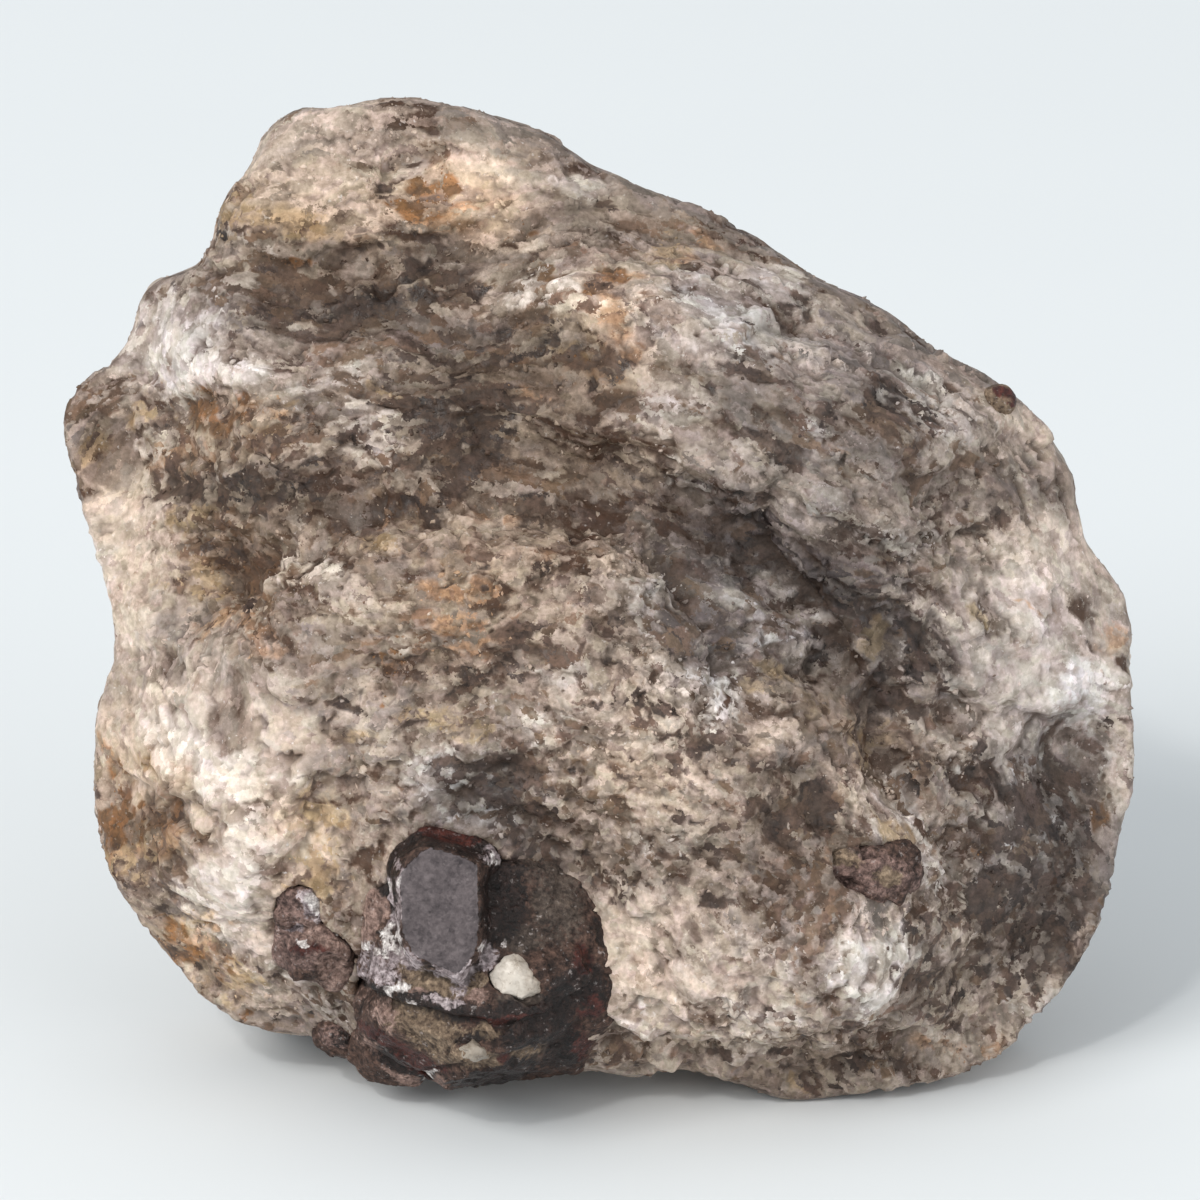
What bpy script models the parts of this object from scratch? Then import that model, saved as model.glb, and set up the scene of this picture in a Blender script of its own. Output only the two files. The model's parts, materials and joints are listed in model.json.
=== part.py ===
"""A hand specimen of garnet in its matrix: a broken lump of pale gneiss with dark red garnets and two
grains of quartz in it. Each crystal is a solid of its own, set in a socket with a small gap all round.

The lump is drawn in a frame of its own, in millimetres: u across the face, v up the face and w out of
the face. It is then leaned back onto its foot. The finished model is in metres, +Z up, and its origin is
the middle of the bottom of its bounding box.
"""

import math
import random

import bmesh
import bpy
import numpy as np
from mathutils import Euler, Matrix, Vector, noise
from mathutils.bvhtree import BVHTree

MM = 0.001

# Driving dimensions, in millimetres and degrees.
LEAN = 20.0  # how far the face leans back from upright
FACE_BULGE = 16.0  # how far the face stands in front of the outline
BACK_DEPTH = 27.0  # how far the back stands behind it
FACE_POWER = 2.6  # 2 is an ellipsoid, more is boxier
BACK_POWER = 3.0
FOOT_DROP = 35.2  # from the outline's centre down to the surface that the lump rests on
FLOOR_GAP = 0.3  # the crystals' clearance above that surface
SOCKET_GAP = 0.3  # the gap round each crystal
RIM_BAND = 0.30  # how far the outline's teeth reach onto the face and the back
FACE_ROUGHNESS = 1.0
BACK_ROUGHNESS = 1.1
GRAIN_RUN = -18.0  # the turn of the rock's banding across the face
GRAIN_STRETCH = 1.8
SKIN_VOXEL = 0.7
SKIN_KEEP = 0.074  # the share of the skin's triangles that the solid keeps
SPHERE_STEPS = 6

# The lump's outline, clockwise from its left end: u, v.
OUTLINE = [
    (-40.4, 12.8), (-40.0, 14.8), (-39.0, 16.4), (-36.6, 17.7), (-35.1, 19.7), (-34.6, 22.7),
    (-33.6, 24.1), (-31.1, 24.5), (-28.9, 25.8), (-28.6, 29.0), (-26.3, 32.0), (-24.9, 35.4),
    (-22.7, 37.1), (-19.5, 36.7), (-16.1, 37.7), (-10.9, 37.1), (-6.0, 35.7), (-3.2, 34.7),
    (-0.9, 32.4), (3.9, 30.5), (8.3, 29.0), (12.4, 26.6), (16.1, 23.9), (20.9, 22.1),
    (24.4, 18.8), (29.6, 16.2), (33.4, 12.8), (35.6, 9.0), (35.6, 7.1), (36.6, 3.8),
    (39.0, 1.3), (39.9, -1.5), (39.5, -5.6), (40.4, -11.6), (39.2, -17.3), (38.6, -21.0),
    (38.1, -23.6), (36.2, -27.0), (33.8, -30.4), (29.9, -34.1), (26.3, -36.0), (21.8, -36.4),
    (14.8, -37.6), (12.0, -37.0), (9.6, -35.7), (5.6, -35.0), (3.0, -35.5), (-2.0, -35.0),
    (-9.0, -34.8), (-14.0, -34.4), (-17.6, -34.0), (-20.3, -32.9), (-24.8, -32.6), (-27.6, -31.7),
    (-31.1, -28.5), (-34.6, -23.8), (-37.1, -19.9), (-37.8, -16.0), (-38.0, -9.0), (-36.5, -5.0),
    (-36.5, -1.0), (-37.8, 3.6), (-39.2, 7.5),
]

# Flat breaks of the face: which way they face, as u, v, w, and a point on each.
FACE_BREAKS = {
    "right break": ((0.75, -0.05, 1.0), (25.0, -5.0, 9.5)),
    "rim band": ((0.45, 0.85, 0.9), (5.0, 22.0, 11.5)),
    "left flank": ((-0.95, 0.10, 0.8), (-27.5, 0.0, 10.5)),
    "lower left bevel": ((-0.50, -0.75, 0.8), (-23.0, -21.0, 11.0)),
    "shelf": ((0.05, -1.0, 0.7), (12.0, -31.5, 10.0)),
    "lower right bevel": ((0.80, -0.60, 0.9), (26.0, -21.5, 9.5)),
    "middle slab": ((-0.06, -0.16, 1.0), (-6.0, -8.0, 15.0)),
    "upper slab": ((-0.10, 0.30, 1.0), (-8.0, 14.0, 13.2)),
}
BREAK_SOFTNESS = 0.7

# Swells and hollows of the face: centre u and v, half length, half width, turn, height.
FACE_SHAPES = {
    "crown set back": (-12.0, 33.0, 20.0, 8.0, -12.0, -2.5),
    "pit in the crown": (-14.2, 31.5, 2.2, 2.8, 20.0, -1.8),
    "trough under the crown": (-14.0, 19.0, 17.0, 5.0, -8.0, -1.8),
    "left shoulder": (-33.0, 12.0, 6.0, 7.0, 0.0, -1.2),
    "pale boss on the left": (-31.0, 20.0, 4.5, 4.0, 10.0, 1.3),
    "nook beside the slab": (-26.8, 1.8, 3.4, 5.0, -35.0, -3.4),
    "slab crest": (-13.0, 1.5, 15.0, 5.0, 4.0, 2.0),
    "slab belly": (-9.0, -8.0, 16.0, 8.0, -8.0, 1.5),
    "slab's right boss": (0.5, -6.0, 3.6, 3.2, 0.0, 0.9),
    "sugary swell": (6.0, -12.0, 8.0, 5.5, -35.0, 1.2),
    "diagonal valley": (15.0, 0.0, 13.0, 3.6, -44.0, -2.6),
    "upper valley pit": (15.8, -4.9, 2.0, 1.6, -30.0, -1.4),
    "lower valley pit": (22.0, -8.8, 2.4, 1.4, -60.0, -1.6),
    "block above the valley": (9.2, 8.1, 2.8, 2.0, -20.0, 1.3),
    "upper right swell": (17.0, 14.5, 16.0, 6.0, -34.0, 1.8),
    "right cheek": (33.0, -3.0, 6.0, 9.0, 10.0, 1.4),
    "hollow under the cheek": (33.5, -12.5, 4.5, 3.5, -30.0, -2.2),
    "square pit": (16.0, -15.4, 1.8, 3.2, 8.0, -2.2),
    "lower right flank": (31.5, -24.0, 5.0, 8.0, 20.0, -1.6),
    "lower lip": (9.0, -27.0, 14.0, 5.0, 3.0, 1.6),
    "pale lump": (19.3, -27.0, 3.6, 3.2, 30.0, 1.3),
    "pale slab": (-28.0, -17.0, 5.0, 9.0, 24.0, 1.4),
    "rusty flank": (-35.5, -16.5, 3.0, 5.5, 30.0, -2.0),
    "saddle left of the garnet": (-17.5, -24.0, 2.4, 6.0, 20.0, -1.4),
    "moat right of the garnet": (0.0, -25.0, 3.5, 8.0, 18.0, -1.8),
}

# Steps of the face: points u, v along the edge, drop on the left of the way they run, and its reach.
LEDGES = {
    "slab edge": (
        [(-26.6, 0.2), (-24.6, 2.2), (-20.2, 3.8), (-18.4, 5.2), (-10.0, 5.5), (-3.0, 5.2),
         (1.5, 4.0), (4.5, 1.5), (6.8, -1.0), (7.8, -4.0)], 2.8, 6.0),
    "valley side": (
        [(22.5, -11.0), (20.5, -7.5), (18.0, -3.0), (14.5, 2.8), (9.0, 7.2), (2.0, 10.6),
         (-6.0, 12.6)], 2.6, 5.0),
    "crown edge": (
        [(0.0, 29.4), (-6.0, 28.8), (-12.0, 27.2), (-16.5, 26.2), (-22.5, 25.4), (-27.0, 27.0)], 1.8, 5.0),
    "cheek edge": ([(39.0, -8.0), (33.0, -8.8), (27.5, -7.6)], 1.8, 4.5),
    "rib side": ([(21.4, -13.8), (22.9, -15.8), (25.1, -19.1), (26.2, -22.5), (26.5, -28.0)], 1.8, 4.5),
    "undercut of the shelf": ([(31.0, -30.5), (21.0, -32.8), (12.0, -33.2), (3.0, -32.8)], 2.4, 4.0),
    "pale slab's side": ([(-21.0, -14.0), (-23.5, -20.0), (-24.5, -27.0)], 1.2, 4.0),
}
EDGE_SOFTNESS = 0.45

# Flat breaks of the back: which way they face, as u, v, w, and how far they are from the centre.
BACK_BREAKS = {
    "main break": ((0.05, 0.28, -1.0), 22.5),
    "left break": ((-0.80, 0.12, -1.0), 29.0),
    "right break": ((0.75, -0.08, -1.0), 30.0),
    "top break": ((-0.10, 1.0, -0.9), 31.5),
    "upper right break": ((0.9, 1.0, -0.8), 30.5),
    "heel": ((0.12, -0.40, -1.0), 30.5),
}

# The big garnet's body, and the outline of the flat top of the smaller crystal on it.
MAIN_CENTRE = Vector((-8.9, -26.6, 6.6))
MAIN_HALF_SIZES = Vector((8.5, 9.7, 8.2))
MAIN_TURN = (24.0, -8.0, 38.0)
MAIN_KEEL = {  # the two lowest faces, which meet in a point: direction, and a point on each
    "left of the keel": ((-0.50, -0.85, 0.12), (-11.4, -36.8, 3.0)),
    "right of the keel": ((0.19, -0.97, 0.15), (-11.4, -36.8, 3.0)),
}
STEP_TOP = [
    (-13.9, -24.3), (-14.1, -19.9), (-13.6, -19.1), (-12.3, -17.7), (-9.7, -18.5), (-8.7, -19.1),
    (-8.7, -24.6), (-9.0, -25.7), (-10.3, -27.4), (-13.0, -26.0),
]
STEP_HEIGHT = 17.6
STEP_DEPTH = 8.0
STEP_TILT = Vector((0.06, -0.05))  # how the flat top falls away, per millimetre of u and v
STEP_FLARE = Vector((1.62, 1.42))  # how much wider it is at its root

# The smaller garnets: centre u and v, how far that is sunk below the face, and the shapes grown
# together there, each with its offset from the centre, half sizes and seed.
GARNETS = {
    "garnet_left": (-20.9, -25.6, 0.6, [
        ((0.0, 0.0, 0.0), (2.7, 2.6, 2.4), 3), ((-1.1, 3.6, 1.7), (1.7, 1.9, 1.8), 8)]),
    "garnet_right": (19.3, -19.9, 0.9, [((0.0, 0.0, 0.0), (3.8, 1.7, 2.0), 5)]),
    "garnet_rim": (29.6, 14.7, 0.2, [((0.0, 0.0, 0.0), (0.7, 0.65, 0.7), 6)]),
    "garnet_edge": (-19.7, -32.7, 0.6, [((0.0, 0.0, 0.0), (1.1, 1.3, 1.3), 11)]),
}
LOWER_GARNET = (Vector((-14.7, -33.7, 2.4)), (3.3, 2.3, 3.0), 4)

# The quartz grains on the big garnet: centre u and v, how far that is sunk, half sizes and seed.
QUARTZ_GRAINS = {
    "quartz_grain_upper": (-5.6, -27.3, 0.2, (2.1, 1.75, 1.5), 21),
    "quartz_grain_lower": (-9.1, -32.7, 0.2, (1.45, 0.95, 1.2), 22),
}

# Garnet's usual crystal forms: the rhombic dodecahedron, trimmed by the trapezohedron.
DODECAHEDRON_CUT = 1.0
TRAPEZOHEDRON_CUT = 1.04
CUT_JITTER = 0.05
GRAIN_FACES = 20
GOLDEN_ANGLE = math.pi * (3.0 - math.sqrt(5.0))

COLOURS = {
    "matrix": ((0.46, 0.40, 0.35, 1.0), 0.75),
    "garnet": ((0.10, 0.02, 0.03, 1.0), 0.30),
    "quartz": ((0.70, 0.68, 0.64, 1.0), 0.25),
}


def clear_scene():
    """Start from an empty scene."""
    for thing in list(bpy.data.objects):
        bpy.data.objects.remove(thing)


def face_to_world():
    """From the face's frame in millimetres to the world's in metres: the face looks along -Y."""
    lean_back = Matrix.Rotation(math.radians(90.0 - LEAN), 4, "X")
    lift = Matrix.Translation((0.0, 0.0, FOOT_DROP * MM))
    return lift @ lean_back @ Matrix.Scale(MM, 4)


def smooth_outline():
    """The outline's reach at each degree, and the same with its teeth worn off."""
    points = np.array(OUTLINE)
    turn = np.arctan2(points[:, 1], points[:, 0])
    degrees = np.radians(np.arange(-180, 180))
    order = np.argsort(turn)
    reach = np.hypot(points[:, 0], points[:, 1])[order]
    true_reach = np.interp(degrees, turn[order], reach, period=2 * math.pi)
    window = np.hanning(31)
    padded = np.concatenate([true_reach[-15:], true_reach, true_reach[:15]])
    return degrees, true_reach, np.convolve(padded, window / window.sum(), "valid")


DEGREES, TRUE_REACH, WORN_REACH = smooth_outline()


def outline_reach(angle, teeth):
    """How far the outline is from the centre at this angle, with teeth from 0 (worn) to 1 (true)."""
    true_reach = np.interp(angle, DEGREES, TRUE_REACH, period=2 * math.pi)
    worn_reach = np.interp(angle, DEGREES, WORN_REACH, period=2 * math.pi)
    return worn_reach + (true_reach - worn_reach) * teeth


def swell(u, v, shape):
    """One swell or hollow of the face."""
    centre_u, centre_v, half_length, half_width, turn, height = shape
    cosine = math.cos(math.radians(turn))
    sine = math.sin(math.radians(turn))
    along = ((u - centre_u) * cosine + (v - centre_v) * sine) / half_length
    across = ((v - centre_v) * cosine - (u - centre_u) * sine) / half_width
    return height * math.exp(-(along * along + across * across))


def distance_to_path(u, v, path):
    """The distance to a path of points, positive on its left."""
    best = math.inf
    side = 1.0
    here = Vector((u, v))
    for start, end in zip(path, path[1:]):
        start = Vector(start)
        step = Vector(end) - start
        share = min(max((here - start).dot(step) / step.length_squared, 0.0), 1.0)
        offset = here - start - step * share
        if offset.length < best:
            best = offset.length
            side = math.copysign(1.0, step.x * offset.y - step.y * offset.x)
    return best * side


def ledge(u, v, path, drop, reach):
    """A step: the face drops sharply on the path's left and climbs back within its reach."""
    distance = distance_to_path(u, v, path)
    wall = 1.0 / (1.0 + math.exp(-distance / EDGE_SOFTNESS * 2.0))
    return -drop * wall * math.exp(-((max(distance, 0.0) / reach) ** 2))


def relief(u, v):
    """The height of the face's swells, hollows and steps."""
    height = sum(swell(u, v, shape) for shape in FACE_SHAPES.values())
    return height + sum(ledge(u, v, *step) for step in LEDGES.values())


def broken_height(u, v, profile):
    """The bulge of the face, cut back to the flat breaks with slightly worn edges."""
    height = FACE_BULGE * profile
    for (nu, nv, nw), (pu, pv, pw) in FACE_BREAKS.values():
        limit = max(pw - (nu * (u - pu) + nv * (v - pv)) / nw, 0.0)
        gap = max(BREAK_SOFTNESS - abs(height - limit), 0.0) / BREAK_SOFTNESS
        height = min(height, limit) - gap * gap * BREAK_SOFTNESS * 0.25
    return max(height, 0.0)


def face_height(u, v, profile=None):
    """How far the face stands in front of the outline at one place."""
    if profile is None:
        inward = math.hypot(u, v) / outline_reach(math.atan2(v, u), 0.0)
        profile = max(1.0 - inward ** FACE_POWER, 0.0) ** (1.0 / FACE_POWER)
    return broken_height(u, v, profile) + relief(u, v) * min(profile * 1.6, 1.0)


def face_grit(u, v):
    """The roughness of the face, drawn out along the rock's banding."""
    cosine = math.cos(math.radians(GRAIN_RUN))
    sine = math.sin(math.radians(GRAIN_RUN))
    along = (u * cosine + v * sine) / GRAIN_STRETCH
    across = v * cosine - u * sine
    return noise.fractal(Vector((along, across, 7.0)) * 0.30, 0.7, 2.0, 3) * FACE_ROUGHNESS


def break_back(point):
    """Pull a point in to the flat breaks of the back, which are a little uneven."""
    unevenness = noise.noise(point * 0.09) * 1.2
    for direction, distance in BACK_BREAKS.values():
        reach = point.dot(Vector(direction).normalized())
        limit = distance + unevenness
        if reach > limit:
            point = point * (limit / reach)
    return point


def skin_point(direction):
    """The lump's surface in one direction from its centre."""
    side = direction.z
    power = FACE_POWER if side > 0.0 else BACK_POWER
    angle = math.atan2(direction.y, direction.x)
    inward = math.hypot(direction.x, direction.y) ** (2.0 / power)
    teeth = math.exp(-((side / RIM_BAND) ** 2))
    reach = outline_reach(angle, teeth) * inward
    u = reach * math.cos(angle)
    v = reach * math.sin(angle)
    profile = abs(side) ** (2.0 / power)
    place = Vector((u, v, 0.0))
    if side > 0.0:
        place.z = face_height(u, v, profile) + face_grit(u, v) * min(profile * 2.0, 1.0)
        return place
    place.z = -BACK_DEPTH * profile
    place = break_back(place)
    grit = noise.fractal(place * 0.16, 0.8, 2.0, 3) * BACK_ROUGHNESS
    return place + place.normalized() * grit * min(profile * 2.0, 1.0)


def add_object(name, mesh):
    """Put a mesh into the scene under a name."""
    thing = bpy.data.objects.new(name, mesh)
    bpy.context.collection.objects.link(thing)
    return thing


def mesh_from(shape, name):
    """Turn a bmesh in the face's frame into a mesh in the world's."""
    shape.transform(face_to_world())
    bmesh.ops.recalc_face_normals(shape, faces=shape.faces)
    mesh = bpy.data.meshes.new(name)
    shape.to_mesh(mesh)
    shape.free()
    return mesh


def make_matrix():
    """The lump of rock, before its sockets and its foot are cut."""
    shape = bmesh.new()
    bmesh.ops.create_icosphere(shape, subdivisions=SPHERE_STEPS, radius=1.0)
    for vertex in shape.verts:
        vertex.co = skin_point(vertex.co.normalized())
    lump = add_object("matrix", mesh_from(shape, "matrix"))
    skin = lump.modifiers.new("Even skin", "REMESH")
    skin.mode = "VOXEL"
    skin.voxel_size = SKIN_VOXEL * MM
    fewer = lump.modifiers.new("Broken facets", "DECIMATE")
    fewer.ratio = SKIN_KEEP
    return lump


def cut(target, cutter):
    """Cut one object out of another."""
    modifier = target.modifiers.new(cutter.name, "BOOLEAN")
    modifier.operation = "DIFFERENCE"
    modifier.solver = "EXACT"
    modifier.object = cutter


def as_cutter(thing):
    """Show an object as wire only, and leave it out of the model."""
    thing.hide_render = True
    thing.display_type = "WIRE"
    return thing


def foot_cutter():
    """A block below the surface that the lump rests on: it leaves the foot flat."""
    shape = bmesh.new()
    bmesh.ops.create_cube(shape, size=0.2)
    bmesh.ops.translate(shape, verts=shape.verts, vec=(0.0, 0.0, -0.1))
    mesh = bpy.data.meshes.new("foot_cut")
    shape.to_mesh(mesh)
    shape.free()
    return as_cutter(add_object("foot_cut", mesh))


def crystal_faces():
    """The directions of garnet's faces, with how far out each form is cut."""
    faces = []
    for x in (-1, 1):
        for y in (-1, 1):
            for pair in ((x, y, 0), (x, 0, y), (0, x, y)):
                faces.append((Vector(pair).normalized(), DODECAHEDRON_CUT))
            for z in (-1, 1):
                for triple in ((2 * x, y, z), (x, 2 * y, z), (x, y, 2 * z)):
                    faces.append((Vector(triple).normalized(), TRAPEZOHEDRON_CUT))
    return faces


def slice_off(shape, point, direction):
    """Cut a convex block with a plane, drop what is outside it and close the cut."""
    geometry = shape.verts[:] + shape.edges[:] + shape.faces[:]
    made = bmesh.ops.bisect_plane(
        shape, geom=geometry, plane_co=point, plane_no=direction, clear_outer=True, dist=1e-5)
    rim = [item for item in made["geom_cut"] if isinstance(item, bmesh.types.BMEdge)]
    if rim:
        bmesh.ops.edgenet_fill(shape, edges=rim)


def garnet_shape(centre, half_sizes, seed, grow=0.0, turn=None):
    """A garnet of uneven growth: a block cut by the crystal's faces and stretched to its half sizes."""
    chance = random.Random(seed)
    if turn is None:
        turn = [chance.uniform(-180.0, 180.0) for _ in range(3)]
    axes = Euler([math.radians(angle) for angle in turn]).to_matrix()
    shape = bmesh.new()
    bmesh.ops.create_cube(shape, size=60.0)
    for direction, distance in crystal_faces():
        facing = axes @ direction
        stretched = Vector([facing[i] / half_sizes[i] for i in range(3)])
        distance *= 1.0 + chance.uniform(-CUT_JITTER, CUT_JITTER)
        length = stretched.length
        slice_off(shape, stretched / length * (distance / length + grow), stretched / length)
    above_floor = Vector((0.0, -math.cos(math.radians(LEAN)), -math.sin(math.radians(LEAN))))
    clearance = FOOT_DROP - FLOOR_GAP + grow - centre.dot(above_floor)
    slice_off(shape, above_floor * clearance, above_floor)
    bmesh.ops.translate(shape, verts=shape.verts, vec=centre)
    return shape


def main_garnet_shape(grow=0.0):
    """The body of the big garnet, whose two lowest faces meet in a keel."""
    shape = garnet_shape(MAIN_CENTRE, MAIN_HALF_SIZES, 2, grow, MAIN_TURN)
    for direction, point in MAIN_KEEL.values():
        direction = Vector(direction).normalized()
        slice_off(shape, Vector(point) + direction * grow, direction)
    return shape


def step_shape(grow=0.0):
    """The smaller crystal on the big garnet: a flat top, and sides that flare to a hidden root."""
    middle = Vector([sum(point[i] for point in STEP_TOP) / len(STEP_TOP) for i in range(2)])
    shape = bmesh.new()
    for point in STEP_TOP:
        offset = Vector(point) - middle
        outward = offset.normalized() * grow
        fall = offset.dot(STEP_TILT)
        shape.verts.new((*(middle + offset + outward), STEP_HEIGHT - fall + grow))
        root = Vector((offset.x * STEP_FLARE.x, offset.y * STEP_FLARE.y)) + outward
        shape.verts.new((*(middle + root), STEP_DEPTH - grow))
    hull = bmesh.ops.convex_hull(shape, input=shape.verts)
    bmesh.ops.delete(shape, geom=hull["geom_interior"], context="VERTS")
    return shape


def grain_shape(centre, half_sizes, seed, grow=0.0):
    """A broken grain of quartz: a block cut by a few planes, spread unevenly over all directions."""
    chance = random.Random(seed)
    shape = bmesh.new()
    bmesh.ops.create_cube(shape, size=20.0)
    for number in range(GRAIN_FACES):
        height = 1.0 - (2.0 * number + 1.0) / GRAIN_FACES
        turn = number * GOLDEN_ANGLE
        across = math.sqrt(1.0 - height * height)
        facing = Vector((across * math.cos(turn), across * math.sin(turn), height))
        facing = (facing + Vector([chance.gauss(0.0, 0.16) for _ in range(3)])).normalized()
        stretched = Vector([facing[i] / half_sizes[i] for i in range(3)])
        length = stretched.length
        distance = chance.uniform(0.86, 1.0) / length + grow
        slice_off(shape, stretched / length * distance, stretched / length)
    bmesh.ops.translate(shape, verts=shape.verts, vec=centre)
    return shape


def solid_and_sockets(name, builders):
    """A crystal as one solid, with one cutter for each of its shapes that is larger all round."""
    sockets = []
    for number, build in enumerate(builders):
        socket = add_object(f"{name}_socket_{number}", mesh_from(build(SOCKET_GAP), name))
        sockets.append(as_cutter(socket))
    solid = add_object(name, mesh_from(builders[0](0.0), name))
    for number, build in enumerate(builders[1:]):
        grown_on = as_cutter(add_object(f"{name}_part_{number}", mesh_from(build(0.0), name)))
        join = solid.modifiers.new("Grown together", "BOOLEAN")
        join.operation = "UNION"
        join.solver = "EXACT"
        join.object = grown_on
    return solid, sockets


def garnet_builders(u, v, sink, shapes):
    """How to build each shape of a small garnet, sunk into the face where it stands."""
    centre = Vector((u, v, face_height(u, v) - sink))
    builders = []
    for offset, half_sizes, seed in shapes:
        place = centre + Vector(offset)
        builders.append(lambda grow, c=place, h=half_sizes, s=seed: garnet_shape(c, h, s, grow))
    return builders


def make_garnets():
    """Every garnet and its sockets, by name."""
    made = {}
    made["garnet_main"] = solid_and_sockets("garnet_main", [main_garnet_shape, step_shape])
    made["garnet_lower"] = solid_and_sockets(
        "garnet_lower", [lambda grow: garnet_shape(*LOWER_GARNET, grow)])
    for name, garnet in GARNETS.items():
        made[name] = solid_and_sockets(name, garnet_builders(*garnet))
    return made


def garnet_front(u, v):
    """How far the big garnet's body stands out at one place."""
    body = main_garnet_shape()
    hit = BVHTree.FromBMesh(body).ray_cast(Vector((u, v, 60.0)), Vector((0.0, 0.0, -1.0)))
    body.free()
    return hit[0].z


def make_quartz():
    """The two quartz grains and their sockets, by name."""
    made = {}
    for name, (u, v, sink, half_sizes, seed) in QUARTZ_GRAINS.items():
        grain = (Vector((u, v, garnet_front(u, v) - sink)), half_sizes, seed)
        made[name] = solid_and_sockets(name, [lambda grow, g=grain: grain_shape(*g, grow)])
    return made


def give_material(thing, kind):
    """A plain material of the sub-part's own."""
    colour, roughness = COLOURS[kind]
    material = bpy.data.materials.new(thing.name)
    material.use_nodes = True
    shader = material.node_tree.nodes["Principled BSDF"]
    shader.inputs["Base Color"].default_value = colour
    shader.inputs["Roughness"].default_value = roughness
    shader.inputs["Metallic"].default_value = 0.0
    thing.data.materials.append(material)


def centre_on_floor(solids):
    """Move everything so that the origin is the middle of the bounding box's bottom."""
    scene_now = bpy.context.evaluated_depsgraph_get()
    corners = []
    for solid in solids:
        mesh = solid.evaluated_get(scene_now).to_mesh()
        places = np.empty(len(mesh.vertices) * 3)
        mesh.vertices.foreach_get("co", places)
        corners.append(places.reshape(-1, 3))
    places = np.concatenate(corners)
    middle = (places.min(axis=0) + places.max(axis=0)) / 2.0
    shift = Matrix.Translation((-middle[0], -middle[1], -places[:, 2].min()))
    for mesh in {thing.data for thing in bpy.data.objects}:
        mesh.transform(shift)


def main():
    """Build the specimen."""
    clear_scene()
    lump = make_matrix()
    garnets = make_garnets()
    quartz = make_quartz()
    crystals = {**garnets, **quartz}
    cut(lump, foot_cutter())
    for _, sockets in crystals.values():
        for socket in sockets:
            cut(lump, socket)
    for name in ("garnet_lower", "quartz_grain_upper", "quartz_grain_lower"):
        for socket in crystals[name][1]:
            cut(garnets["garnet_main"][0], socket)
    give_material(lump, "matrix")
    for solid, _ in garnets.values():
        give_material(solid, "garnet")
    for solid, _ in quartz.values():
        give_material(solid, "quartz")
    centre_on_floor([lump] + [solid for solid, _ in crystals.values()])


main()
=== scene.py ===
# %% [markdown]
# # A hand specimen: garnets in a lump of pale gneiss
#
# The specimen is one broken lump of rock, about eight centimetres across. It is made of sugary feldspar
# and quartz, drawn out into bands, with flakes of dark mica between them and rust where the mica has
# weathered. One big garnet with a flat-topped smaller crystal on it sits low on the face, with five small
# garnets round it and two grains of quartz stuck to it.
#
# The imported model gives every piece's true place and size. These cells give each piece its real surface:
# a finer mesh with the small breaks and grains in it, and a finish made of noise and cells.

import json
import math

import bmesh
import bpy
import numpy as np
from mathutils import Matrix, Vector
from mathutils.bvhtree import BVHTree

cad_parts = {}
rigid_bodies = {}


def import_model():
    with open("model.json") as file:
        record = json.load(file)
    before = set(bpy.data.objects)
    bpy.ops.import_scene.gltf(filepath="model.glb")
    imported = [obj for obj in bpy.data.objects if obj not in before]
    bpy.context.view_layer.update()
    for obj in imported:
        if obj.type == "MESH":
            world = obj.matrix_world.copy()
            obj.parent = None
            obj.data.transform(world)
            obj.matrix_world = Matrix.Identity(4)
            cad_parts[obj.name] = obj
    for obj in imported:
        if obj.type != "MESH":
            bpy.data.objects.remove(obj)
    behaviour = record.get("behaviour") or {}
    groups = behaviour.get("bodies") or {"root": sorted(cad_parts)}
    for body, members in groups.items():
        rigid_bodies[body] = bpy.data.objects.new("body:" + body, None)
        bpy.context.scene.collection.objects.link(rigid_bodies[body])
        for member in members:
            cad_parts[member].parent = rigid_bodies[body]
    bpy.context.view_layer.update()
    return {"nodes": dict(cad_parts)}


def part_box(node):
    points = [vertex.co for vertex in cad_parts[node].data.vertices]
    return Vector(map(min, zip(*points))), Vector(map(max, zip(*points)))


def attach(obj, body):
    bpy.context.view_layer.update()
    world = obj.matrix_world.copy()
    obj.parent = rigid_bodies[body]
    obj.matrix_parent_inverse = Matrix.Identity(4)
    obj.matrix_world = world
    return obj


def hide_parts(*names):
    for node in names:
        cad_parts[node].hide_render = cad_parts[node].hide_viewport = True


for leftover in list(bpy.data.objects):
    bpy.data.objects.remove(leftover)
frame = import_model()
nodes = frame["nodes"]
print("nodes:", ", ".join(sorted(nodes)))

# %% [markdown]
# ## A frame of its own for the face
#
# The broken face leans back by twenty degrees. Everything on it is easier to place in the face's own
# frame, in millimetres: u runs across the face, v up it, and w out of it. Two short functions turn
# points from one frame to the other, many at a time.

# %% The face's frame
MM = 0.001
LEAN = math.radians(20.0)
FACE_CENTRE = np.array([0.023, 0.398, 35.2])  # millimetres, where u, v and w are all nought
ACROSS = np.array([1.0, 0.0, 0.0])
UP_THE_FACE = np.array([0.0, math.sin(LEAN), math.cos(LEAN)])
OUT_OF_FACE = np.array([0.0, -math.cos(LEAN), math.sin(LEAN)])
FACE_AXES = np.array([ACROSS, UP_THE_FACE, OUT_OF_FACE])


def to_face(places):
    """Places in the world, in metres, as u, v and w in millimetres."""
    return (places / MM - FACE_CENTRE) @ FACE_AXES.T


def to_world(places):
    """Places in the face's frame, in millimetres, as metres in the world."""
    return (places @ FACE_AXES + FACE_CENTRE) * MM


print("the face's centre is", FACE_CENTRE[2], "mm above the floor")

# %% [markdown]
# ## Camera
#
# The camera looks straight at the face from half a metre away, so it sees it as someone would who holds
# the specimen up to the light. The long lens keeps the lump's outline true.

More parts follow.
